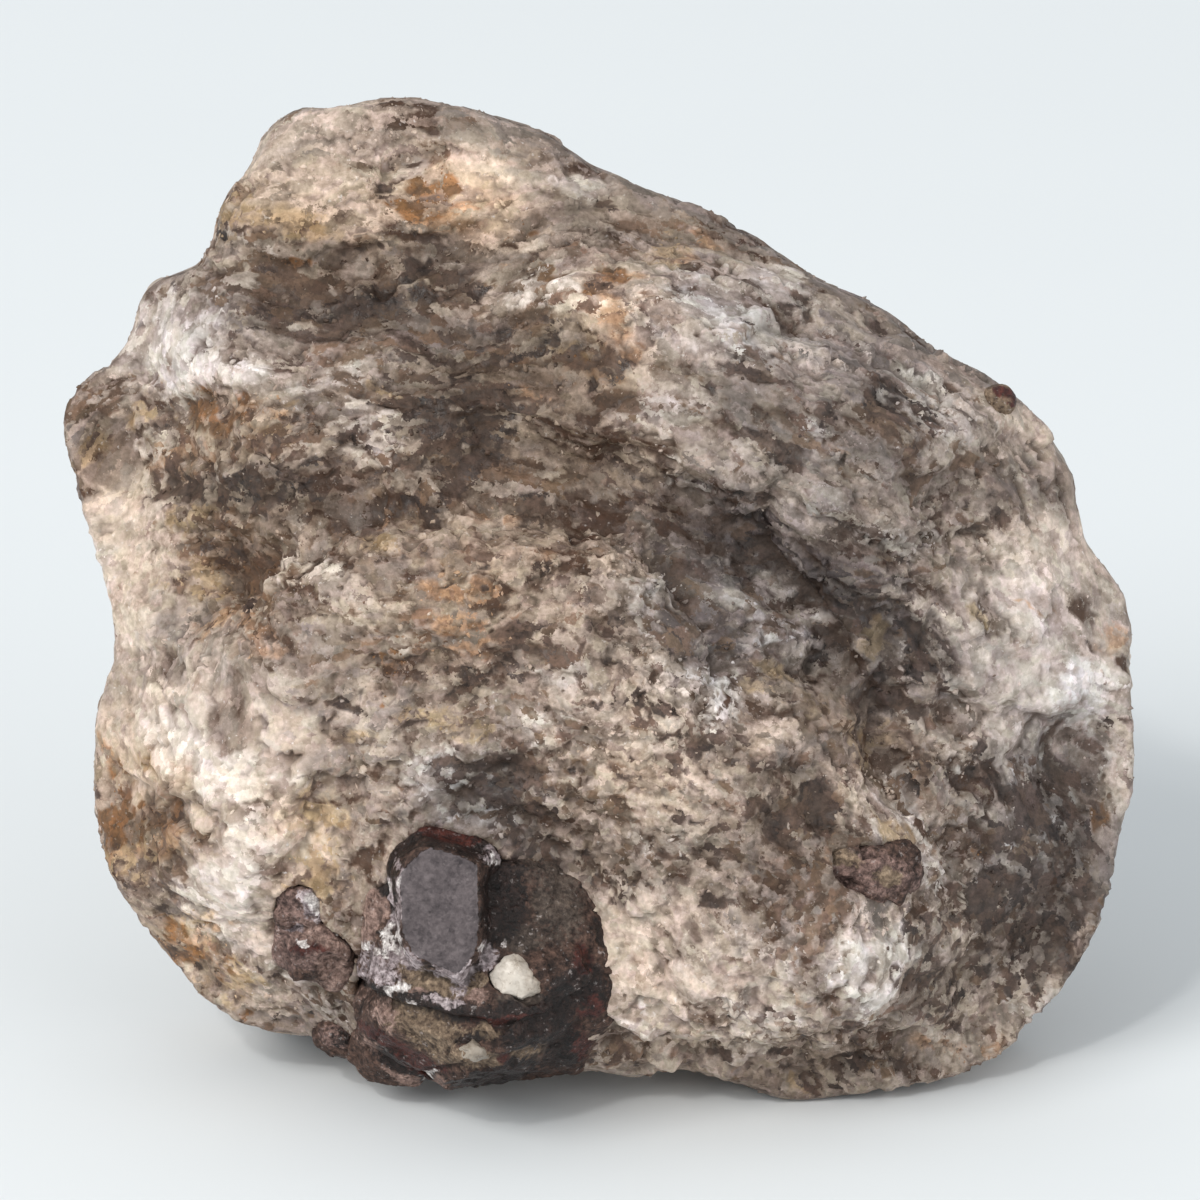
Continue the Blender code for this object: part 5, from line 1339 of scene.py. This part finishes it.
spots, spot_normals = places_on(matrix_rock.data, MOST_PLACES, 901)
clear = (crystal_distance(spots) > CHIP_CLEARANCE) & (spots[:, 2] > FOOT_CLEARANCE * MM)
spots, spot_normals = spots[clear], spot_normals[clear]
spot_face = to_face(spots)
spot_shares = mineral_shares(spot_face, band_places(spot_face))
spot_broad = broad_tones(spot_face, band_places(spot_face))
spot_minerals = pick_minerals(spot_shares, 902)
smooth_spots = np.random.default_rng(903).uniform(0.0, 1.0, len(spots)) < spot_broad[:, 2] * BARE_IF_MASSIVE
spot_minerals[smooth_spots] = NO_CHIP
chip_finish = rock_finish("broken_grains", 0.35, own_cells=False)
for number, (name, (kinds, most, sizes, flatness, sink, waver, bank)) in enumerate(CHIP_KINDS.items()):
    numbers = [-1 if kind == "ground" else list(MINERALS).index(kind) for kind in kinds]
    chosen = np.flatnonzero(np.isin(spot_minerals, numbers))[:most]
    chance = np.random.default_rng(910 + number)
    radii = (sizes[0] + (sizes[1] - sizes[0]) * chance.uniform(0, 1, len(chosen)) ** MOSTLY_SMALL) * MM
    mesh, corners = chips_mesh(
        name, spots[chosen], spot_normals[chosen], radii, flatness, sink, waver, bank, 920 + number)
    local = {mineral: share[chosen] for mineral, share in spot_shares.items()}
    add_chips(name, mesh, corners, spot_minerals[chosen], local, spot_broad[chosen], chip_finish,
              930 + number)
    print(name, len(chosen), "chips,", len(mesh.polygons), "triangles")

# %% [markdown]
# ## Garnets
#
# Garnet is dark red to black, and glassy where it is fresh. These crystals grew pressed into the rock, so
# most of their skin is rough and wears a rind of the rock's own minerals. Only the flat top of the smaller
# crystal on the big one is clean: its dull grey shine is a painted reflection, laid into its colour. The
# finish also paints the garnets' hollows darker, as painted shade, and a few specks pale, as painted
# highlights. The imported shapes are right, so each is reskinned finely, swelled by a hair where it sits in
# its socket, and then given its growth steps and worn edges.

# %% The garnet's marks
GARNET_MARKS = {
    "black": [
        (-7.9, -22.8, 1.15, 3.0), (-6.5, -22.6, 1.3, 3.2, 4, 0.6), (-11.0, -18.0, 3.0, 0.8, -12),
        (-14.5, -18.7, 1.5, 0.6, 45), (-10.0, -33.0, 1.2, 0.3, -10), (-4.6, -32.4, 2.6, 0.8, 28),
        (-9.0, -18.7, 1.0, 0.4, -20), (-12.5, -30.3, 2.8, 0.55, -12), (-16.6, -29.4, 1.6, 0.45, -35),
        (-8.0, -31.2, 3.6, 0.7), (-4.6, -31.1, 2.2, 0.9, 10), (-2.4, -29.4, 1.6, 1.1, 30),
        (-15.6, -34.6, 1.5, 0.55, -32), (-9.3, -36.2, 2.0, 0.5, 8), (-6.6, -35.4, 2.4, 0.6, 14),
        (-2.6, -33.6, 1.0, 1.4, -20), (-1.0, -28.8, 1.0, 1.2), (-15.9, -21.0, 0.5, 1.0),
        (-15.6, -22.6, 0.3, 0.8), (-13.5, -35.7, 1.0, 0.3, -20), (-0.4, -25.0, 0.4, 1.0, 20),
        (-19.7, -32.8, 0.8, 0.6, -20, 0.7),
    ],
    "red": [
        (-12.9, -17.3, 1.4, 0.5, 4), (-11.6, -17.9, 2.0, 0.3, -14, 0.8), (-5.2, -31.4, 1.6, 0.3, 10, 0.7),
        (-16.0, -33.1, 2.2, 0.5, -32), (-13.3, -34.9, 1.5, 0.6, -22), (-8.5, -31.7, 1.5, 0.3),
        (-1.4, -27.0, 0.6, 1.1, 20, 0.8), (-0.8, -30.6, 0.3, 0.9, -20), (-1.6, -33.2, 0.4, 0.9, -25, 0.8),
        (-11.8, -22.6, 0.9, 0.6, 0, 0.4), (-7.2, -34.5, 0.6, 0.4), (-22.0, -26.3, 1.8, 0.4, 0, 0.7),
        (30.3, 15.2, 0.7, 0.35, -35),
    ],
    "rind": [
        (-17.3, -23.3, 0.9, 1.9, 10), (-16.5, -22.4, 0.6, 0.6), (-17.6, -25.2, 0.6, 0.9),
        (-16.2, -31.3, 1.6, 0.7, -40, 0.6), (-17.0, -33.6, 1.4, 0.3, -40, 0.6),
        (-15.6, -35.5, 1.6, 0.3, -35, 0.6), (-13.6, -29.6, 0.8, 0.4), (-9.2, -29.8, 1.0, 0.4),
        (-14.6, -18.3, 0.7, 0.6), (-13.0, -36.4, 1.5, 0.35, -10), (-19.6, -28.5, 1.4, 1.4),
        (-20.4, -26.1, 1.2, 0.5), (-21.6, -24.6, 1.5, 1.0, 0, 0.6),
    ],
    "tan": [
        (-12.9, -28.5, 1.9, 0.8), (-11.2, -29.2, 1.3, 0.7), (-9.2, -28.5, 0.7, 0.6),
        (-13.8, -31.6, 2.0, 0.8, -8), (-12.3, -33.0, 1.6, 0.9, 0, 0.8), (-10.6, -34.3, 2.2, 0.4, 5, 0.8),
        (-8.4, -34.7, 2.0, 0.4, 10, 0.8), (17.8, -19.6, 1.4, 0.6, 0, 0.9), (21.4, -20.6, 1.0, 0.6, 0, 0.9),
        (-15.2, -31.2, 0.8, 0.7), (-5.6, -34.0, 1.6, 0.35, 30), (-14.3, -27.3, 0.8, 0.5),
        (-8.5, -32.6, 1.2, 0.4), (-3.4, -30.6, 0.5, 0.4), (29.9, 14.8, 1.4, 1.3, 0, 0.85),
    ],
    "crust": [
        (-17.1, -27.2, 0.9, 1.3, 0, 0.6), (-16.0, -28.3, 1.3, 0.7, -30, 0.6),
        (-15.2, -26.6, 0.8, 0.7, 0, 0.7), (-14.2, -26.9, 0.6, 0.5), (-8.4, -26.6, 0.6, 0.8, 20),
        (-10.6, -28.9, 0.5, 1.2, 0, 0.8), (-11.6, -30.2, 1.2, 0.3, -8), (-12.0, -27.9, 1.8, 0.3, -10),
        (-9.6, -27.7, 1.0, 0.3, 35), (-15.1, -21.8, 0.3, 2.0), (-15.5, -23.8, 0.4, 0.9),
        (-8.3, -19.3, 0.5, 0.5, 0, 0.5), (-21.8, -22.6, 0.7, 0.8), (-23.2, -24.3, 0.6, 0.3),
    ],
    "white": [
        (-15.7, -25.2, 0.4, 1.0, -15, 0.8), (-15.2, -26.2, 0.4, 0.4, 0, 0.8),
        (-15.3, -29.3, 0.8, 0.3, 0, 0.8), (-14.7, -29.0, 0.4, 0.35), (-7.1, -25.9, 0.3, 0.3),
        (-8.2, -19.6, 0.2, 0.5, -40, 0.7), (-22.2, -25.8, 0.4, 0.2), (-20.0, -25.0, 0.2, 0.3),
        (-15.0, -21.3, 0.2, 0.6), (-17.4, -25.9, 0.5, 0.2), (-9.0, -26.0, 0.4, 0.2),
        (-21.7, -22.5, 0.35, 0.5), (-16.3, -26.5, 0.4, 0.3), (-13.9, -30.4, 0.3, 0.2),
        (-12.8, -35.8, 0.6, 0.2), (-15.7, -29.9, 0.2, 0.3),
    ],
    "skin": [
        (-3.2, -22.4, 2.0, 3.2, 0, 0.7), (-5.8, -18.8, 2.0, 1.4, 0, 0.8), (-5.8, -29.9, 1.6, 0.6),
        (-4.6, -33.8, 1.6, 0.6, 35, 0.7), (-6.0, -25.6, 1.2, 0.8), (17.8, -19.4, 1.6, 0.8),
        (21.4, -20.6, 1.4, 0.8),
    ],
    "maroon": [
        (-22.0, -25.2, 2.4, 1.2), (-22.2, -26.9, 2.2, 0.7), (-23.0, -22.6, 1.2, 1.0),
        (19.8, -20.6, 3.6, 1.2), (-19.7, -32.7, 1.0, 0.8),
    ],
}
GARNET_COLOURS = {  # in the order in which they are laid on
    # the clean top's dull grey is a painted reflection of the broad light
    "painted_reflection_face": (shade(50, 44, 46), shade(104, 95, 96)),
    "skin": (shade(40, 33, 30), shade(100, 88, 79)),
    "maroon": (shade(58, 42, 39), shade(144, 119, 111)),
    "tan": (shade(62, 47, 37), shade(150, 131, 110)),
    "rind": (shade(86, 64, 56), shade(176, 150, 139)),
    "black": (shade(11, 7, 6), shade(48, 34, 30)),
    "red": (shade(28, 8, 8), shade(88, 45, 37)),
    "crust": (shade(74, 58, 60), shade(204, 192, 194)),
    "white": (shade(150, 141, 138), shade(240, 236, 233)),
}
GARNET_SHARES = [("painted_reflection_face", "skin", "maroon"), ("tan", "rind", "black"), ("red", "crust", "white")]
GARNET_STRAY = {"painted_reflection_face": (0.0, 0.2), "crust": (0.2, 1.6), "white": (0.1, 1.6)}
USUAL_STRAY = (0.15, 1.1)
GARNET_GROUND = (shade(26, 17, 15), shade(98, 76, 66))
GARNET_GRIT_TONES = [(0.36, (0.50, 0.46, 0.45, 1)), (0.66, (1.45, 1.44, 1.43, 1))]
GARNET_GLOSS = 0.32
GARNET_FULLEST = 1.1
TOP_FACING = np.array([0.06, -0.05, 1.0]) / np.linalg.norm([0.06, -0.05, 1.0])
print(sum(len(marks) for marks in GARNET_MARKS.values()), "marks on the garnets")

# %% The garnet's finish
def garnet_finish():
    """Dark garnet, rough or glassy, with its rinds."""
    finish = Finish("garnet")
    place = finish.node("ShaderNodeTexCoord", None, None, 3)
    fine_place = stretched(finish, place, IN_MILLIMETRES)
    fine = noise_node(finish, fine_place, 2.4, 4.0, 0.72, 1)
    broad = noise_node(finish, fine_place, 0.75, 3.0, 0.6, 1)
    grit = Value(finish, fine.socket.node.outputs[0])
    mottle = Value(finish, broad.socket.node.outputs[0])
    specks = parts_of(finish, fine)
    patches = parts_of(finish, broad)
    wandering = finish.node("ShaderNodeVectorMath", {"operation": "ADD"}, {0: fine_place, 1: broad})
    tones = parts_of(finish, cells_node(finish, wandering, 1.8))
    crumbs = parts_of(finish, cells_node(finish, wandering, 4.2))
    shares = {}
    for number, names in enumerate(GARNET_SHARES):
        for name, part in zip(names, parts_of(finish, stored(finish, f"garnet_{number}"))):
            shares[name] = part
    colour = mixed(finish, (grit * 1.5 + mottle * 1.2 + tones[0] * 0.3 - 1.0).kept(), *GARNET_GROUND)
    covers = {}
    for number, (name, colours) in enumerate(GARNET_COLOURS.items()):
        first, second = number % 3, (number + 1) % 3
        chance = specks[first] * 1.1 + patches[second] * 0.6 + crumbs[first] * 0.5 - 0.60
        tone = (specks[second] * 1.3 + crumbs[second] * 0.35 + patches[first] * 1.5 - 1.07).kept()
        strays = GARNET_STRAY.get(name, USUAL_STRAY)
        colour, covers[name] = painted(
            finish, colour, shares[name], chance, tone, colours, GARNET_FULLEST, strays)
    lightness = finish.node("ShaderNodeValToRGB", {"stops": GARNET_GRIT_TONES}, {0: grit})
    contrast = 1.0 - covers["painted_reflection_face"] * 0.72
    colour = mixed(finish, contrast, colour, mixed(finish, 1.0, colour, lightness, "MULTIPLY"))
    # painted highlights: a few bright specks are painted pale as painted glints
    painted_glint = ((specks[2] + patches[2] * 0.4 - 0.83) * 12.0).kept() * (1.0 - covers["painted_reflection_face"] * 0.8)
    colour = mixed(finish, painted_glint * 0.4, colour, shade(196, 186, 182))
    # painted shade: the garnet's hollows are painted darker
    hollow = stored(finish, "hollow", 2)
    colour = mixed(finish, (hollow * 0.9).kept() * 0.7, colour, shade(30, 23, 20))
    fresh = covers["painted_reflection_face"].larger(covers["black"]).larger(covers["red"])
    roughness = (0.60 + 0.3 * grit - 0.34 * fresh).kept()
    height = (grit + crumbs[0] * 0.12 + mottle * 0.8) * (1.0 - 0.8 * covers["painted_reflection_face"])
    bump = finish.node("ShaderNodeBump", None, {"Strength": 0.8, "Distance": BUMP_REACH, "Height": height})
    finish.set(Base_Color=colour, Roughness=roughness, Normal=bump)
    finish.shader.inputs["Specular IOR Level"].default_value = GARNET_GLOSS
    return finish.material


garnet = garnet_finish()
print("the garnet's finish has", len(garnet.node_tree.nodes), "nodes")

# %% The garnets' surfaces
SOCKET_FILL = 0.55
# how far the big garnet's right side reaches out, at what v, and over what height
FLANK_GROWTH = (2.5, -25.0, 6.5)
TOP_GROWTH = 0.55  # how far its flat top reaches out to the left
CRYSTAL_VOXELS = {
    "garnet_main": 0.00021, "garnet_left": 0.00014, "garnet_lower": 0.00013, "garnet_right": 0.00014,
    "garnet_rim": 0.00007, "garnet_edge": 0.00009,
}
matrix_tree = tree_of(["matrix"])
EMBEDDED = {  # small crystals that the rock half covers: how ragged their outline is, and how far they
    # are sunk, in millimetres
    "garnet_right": (0.9, 0.9), "garnet_left": (0.4, 0.4), "garnet_rim": (0.1, 0.3),
}
GROWTH_STEPS = {  # edges on the big garnet, drawn as the rock's edges are
    "upper groove": (
        [(-1.6, -28.6), (-4.0, -30.2), (-7.0, -30.6), (-10.5, -30.4), (-12.5, -29.8), (-15.2, -29.4),
         (-16.8, -28.6), (-17.8, -27.6)], 0.85, 1.2),
    "lower groove": ([(-1.6, -31.0), (-4.0, -32.6), (-7.6, -33.2), (-12.0, -34.3)], 0.45, 1.0),
    "left rib": ([(-12.0, -35.0), (-14.0, -34.0), (-17.4, -32.4)], 0.1, 1.2),
    "keel rib": ([(-2.6, -34.0), (-6.6, -34.6), (-11.0, -35.4), (-14.6, -34.6)], 0.35, 0.8),
    "right rim": ([(-0.8, -25.0), (-1.6, -27.0), (-3.6, -28.8)], 0.35, 0.9),
    "flank line": ([(-3.4, -20.4), (-4.4, -24.0), (-3.8, -27.0)], 0.2, 1.4),
}
SOCKET_SEALS = {  # crystals set in the big garnet, which fills in around them: how far each is sunk, and
    # how much wider its filling is
    "quartz_grain_upper": (0.9, 1.3), "quartz_grain_lower": (0.45, 1.3), "garnet_lower": (0.4, 1.04),
}


def seal_sockets(piece):
    """Fill the sockets in the big garnet's side with copies of what sits in them, sunk a little."""
    bm = bmesh.new()
    bm.from_mesh(piece.data)
    for name, (sink, growth) in SOCKET_SEALS.items():
        seal = bpy.data.objects[name].data.copy()
        face = to_face(points_of(seal)[0])
        middle = (face.min(axis=0) + face.max(axis=0)) / 2.0
        face = middle + (face - middle) * (growth, growth, 1.0) - (0.0, 0.0, sink)
        seal.vertices.foreach_set("co", to_world(face).ravel())
        bm.from_mesh(seal)
        bpy.data.meshes.remove(seal)
    bm.to_mesh(piece.data)
    bm.free()


def garnet_relief(face, top_share):
    """Growth steps, chips and grit of a garnet's skin, in millimetres."""
    rough, edge, _ = tilted_cells(face / 1.5 + 0.2 * layered_noise(face / 2.0, 801, 2)[:, None], 811)
    fine = tilted_cells(face / 0.55, 821)[0]
    rolls = layered_noise(face / 2.6, 831, 3)
    height = 0.16 * rough + 0.05 * fine + 0.22 * rolls - 0.05 * np.exp(-edge * 8.0)
    return height * (1.0 - 0.93 * top_share)


def socket_closeness(points):
    """1 where a crystal's surface is in its socket, and 0 where it is well clear of the rock."""
    distances = np.array([matrix_tree.find_nearest(Vector(point))[3] for point in points]) / MM
    return 1.0 - smooth_step(0.45, 1.5, distances)


def finish_garnet(name):
    """A garnet with its real skin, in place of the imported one."""
    piece = node_copy(name, f"{name}_crystal")
    weld(piece.data, 1e-6)
    if name == "garnet_main":
        seal_sockets(piece)
    reskin(piece, CRYSTAL_VOXELS[name], 1)
    points, normals = points_of(piece.data)
    face = to_face(points)
    facing_out = normals @ FACE_AXES.T
    if name == "garnet_main":
        growth, middle, height = FLANK_GROWTH
        bulge = np.exp(-((face[:, 1] - middle) / height) ** 2)
        stretch = growth * smooth_step(-9.0, -3.5, face[:, 0]) * bulge
        stretch -= TOP_GROWTH * smooth_step(-11.5, -14.0, face[:, 0]) * smooth_step(12.5, 15.5, face[:, 2])
        points = points + stretch[:, None] * FACE_AXES[0] * MM
        face = to_face(points)
    if name in EMBEDDED:
        sway, sink = EMBEDDED[name]
        sideways = layered_noise(face / 1.8, 871, 2)[:, None] * FACE_AXES[0]
        upward = layered_noise(face / 1.8, 881, 2)[:, None] * FACE_AXES[1]
        points = points + (sway * MM) * (sideways + upward)
        points = points - sink * MM * FACE_AXES[2]
        face = to_face(points)
    above = face @ TOP_FACING
    top_share = np.zeros(len(points))
    if name == "garnet_main":
        level = smooth_step(0.93, 0.985, facing_out @ TOP_FACING)
        top_share = level * smooth_step(-0.6, -0.25, above - above.max())
    scale = 1.0 if name in ("garnet_main", "garnet_right") else 0.6
    relief = garnet_relief(face / scale, top_share) * scale
    if name == "garnet_main":
        for edge in GROWTH_STEPS.values():
            relief += drop_past(face, *edge)
    relief += SOCKET_FILL * socket_closeness(points)
    points = points + normals * relief[:, None] * MM
    points[:, 2] = np.maximum(points[:, 2], FLOOR_MARGIN * MM)
    piece.data.vertices.foreach_set("co", points.ravel())
    piece.data.update()
    normals = points_of(piece.data)[1]
    hollow = hollowness(piece.data, points, normals, 5) / 0.06
    carry(piece.data, "hollow", "FLOAT", np.clip(hollow, -1.0, 1.0))
    closer = EYE_DISTANCE / (EYE_DISTANCE - face[:, 2])
    fray = 0.45 * layered_noise(face / 1.1, 841, 3)
    # the flat top takes the painted reflection: its dull grey shine is painted into its colour
    shares = {"painted_reflection_face": top_share}
    for kind, marks in GARNET_MARKS.items():
        if marks:
            cover = marked(face[:, 0] * closer + fray, face[:, 1] * closer - fray, marks)
            shares[kind] = cover * (1.0 - 0.9 * top_share)
    for number, names in enumerate(GARNET_SHARES):
        together = np.stack([shares[key] for key in names], axis=1)
        carry(piece.data, f"garnet_{number}", "FLOAT_VECTOR", together)
    piece.data.materials.append(garnet)
    piece.data.shade_smooth()
    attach(piece, "root")
    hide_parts(name)
    return piece


garnet_pieces = {name: finish_garnet(name) for name in CRYSTAL_VOXELS}
for name, piece in garnet_pieces.items():
    print(name, len(piece.data.polygons), "triangles")

# %% [markdown]
# ## The two grains of quartz
#
# Two broken grains of milky quartz stick to the big garnet. Quartz is clear, but these are full of fine
# cracks, so light goes some way in and is scattered: part of the light passes through, and the rest comes
# back white with a hint of green. Each grain is painted paler on its left and darker towards its right, as
# painted shade.

# %% Quartz grains
QUARTZ_OUTLINES = {  # the corners of each grain in the face, from its middle
    "quartz_grain_upper": [
        (-2.4, 1.0), (-1.6, 1.8), (-0.3, 1.8), (0.6, 0.9), (2.0, -0.6), (1.6, -1.3), (-0.2, -1.8),
        (-1.8, -1.6), (-2.4, -0.5)],
    "quartz_grain_lower": [(-1.3, 0.1), (-0.2, 0.75), (0.9, 0.2), (1.1, -0.7), (0.1, -0.95), (-1.0, -0.8)],
}
QUARTZ_TONES = {
    "quartz_grain_upper": (shade(140, 122, 103), shade(232, 222, 209)),
    "quartz_grain_lower": (shade(98, 84, 71), shade(176, 164, 149)),
}
QUARTZ_FLATNESS = 0.8
QUARTZ_VOXEL = 0.00010
QUARTZ_CLEARNESS = 0.25
QUARTZ_VEIN = shade(132, 112, 88)
QUARTZ_IOR = 1.54


def quartz_finish(name, tones):
    """Milky quartz: partly clear, with cracks and a glassy skin, and painted shade towards its right side.
    """
    finish = Finish(name)
    place = finish.node("ShaderNodeTexCoord", None, None, 3)
    fine_place = stretched(finish, place, IN_MILLIMETRES)
    fine = noise_node(finish, fine_place, 1.1, 4.0, 0.65)
    veins = noise_node(finish, fine_place, 2.6, 2.0, 0.5)
    # the painted shade across each grain: paler on its left, darker towards its right
    milky = stored(finish, "milky", 2)
    colour = mixed(finish, (milky + fine * 1.8 - 0.9).kept(), *tones)
    colour = mixed(finish, (veins * 4.0 - 2.2).kept() * 0.4, colour, QUARTZ_VEIN)
    bump = finish.node("ShaderNodeBump", None, {"Strength": 0.5, "Distance": BUMP_REACH, "Height": fine})
    finish.set(Base_Color=colour, Roughness=(0.16 + 0.3 * fine).kept(), Normal=bump)
    finish.shader.inputs["IOR"].default_value = QUARTZ_IOR
    finish.shader.inputs["Transmission Weight"].default_value = QUARTZ_CLEARNESS
    return finish.material


def reach_of(outline, angles):
    """How far an outline's edge is from its middle in many directions."""
    reach = np.full(len(angles), 9.0)
    ways = np.stack([np.cos(angles), np.sin(angles)], axis=1)
    for start, end in zip(outline, outline[1:] + outline[:1]):
        start = np.array(start)
        edge = np.array(end) - start
        slant = ways[:, 0] * edge[1] - ways[:, 1] * edge[0]
        slant = np.where(np.abs(slant) < 1e-9, 1e-9, slant)
        distance = (start[0] * edge[1] - start[1] * edge[0]) / slant
        along = (start[0] * ways[:, 1] - start[1] * ways[:, 0]) / slant
        crosses = (distance > 0.0) & (along >= 0.0) & (along <= 1.0)
        reach = np.where(crosses, np.minimum(reach, distance), reach)
    return reach


def finish_quartz(name, number):
    """A broken grain of quartz, cut to its outline and pressed nearly flush."""
    piece = node_copy(name, name.replace("quartz_grain", "milky_quartz"))
    weld(piece.data, 1e-6)
    reskin(piece, QUARTZ_VOXEL, 1)
    points = points_of(piece.data)[0]
    face = to_face(points)
    middle = (face.min(axis=0) + face.max(axis=0)) / 2.0
    halves = (face.max(axis=0) - face.min(axis=0)) / 2.0
    offset = face - middle
    angles = np.arctan2(offset[:, 1], offset[:, 0])
    round_reach = 1.0 / np.hypot(np.cos(angles) / halves[0], np.sin(angles) / halves[1])
    scale = reach_of(QUARTZ_OUTLINES[name], angles) / round_reach
    offset[:, :2] *= scale[:, None]
    offset[:, 2] *= QUARTZ_FLATNESS
    piece.data.vertices.foreach_set("co", to_world(middle + offset).ravel())
    piece.data.update()
    points, normals = points_of(piece.data)
    face = to_face(points)
    relief = 0.09 * tilted_cells(face / 1.2, 851 + number)[0] + 0.03 * layered_noise(face / 0.6, 861, 3)
    piece.data.vertices.foreach_set("co", (points + normals * relief[:, None] * MM).ravel())
    piece.data.update()
    # painted shade: each grain's colour is paler on its left and darker towards its right and top
    carry(piece.data, "milky", "FLOAT", np.clip(0.75 - 0.32 * offset[:, 0] - 0.1 * offset[:, 1], 0.0, 1.0))
    piece.data.materials.append(quartz_finish(piece.name, QUARTZ_TONES[name]))
    piece.data.shade_smooth()
    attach(piece, "root")
    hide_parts(name)
    return piece


for number, name in enumerate(QUARTZ_OUTLINES):
    print(name, len(finish_quartz(name, number).data.polygons), "triangles")

# %% [markdown]
# ## The paper under the specimen
#
# The specimen stands on plain pale paper. Paper is nearly matt, with fibres that are too fine to see from
# here, so a soft change of tone over a few centimetres and a trace of roughness are all that it needs.

# %% The paper's finish
PAPER_TONES = (shade(226, 230, 232), shade(230, 234, 236))


def paper_finish():
    """Smooth matt paper."""
    finish = Finish("paper")
    place = finish.node("ShaderNodeTexCoord", None, None, 3)
    cloudy = Value(finish, noise_node(finish, place, 9.0, 2.0, 0.5, 1).socket.node.outputs[0])
    finish.set(Base_Color=mixed(finish, cloudy, *PAPER_TONES), Roughness=(0.86 + cloudy * 0.08).kept())
    return finish.material


floor.data.materials.append(paper_finish())
print("paper on the floor:", floor.data.materials[0].name)
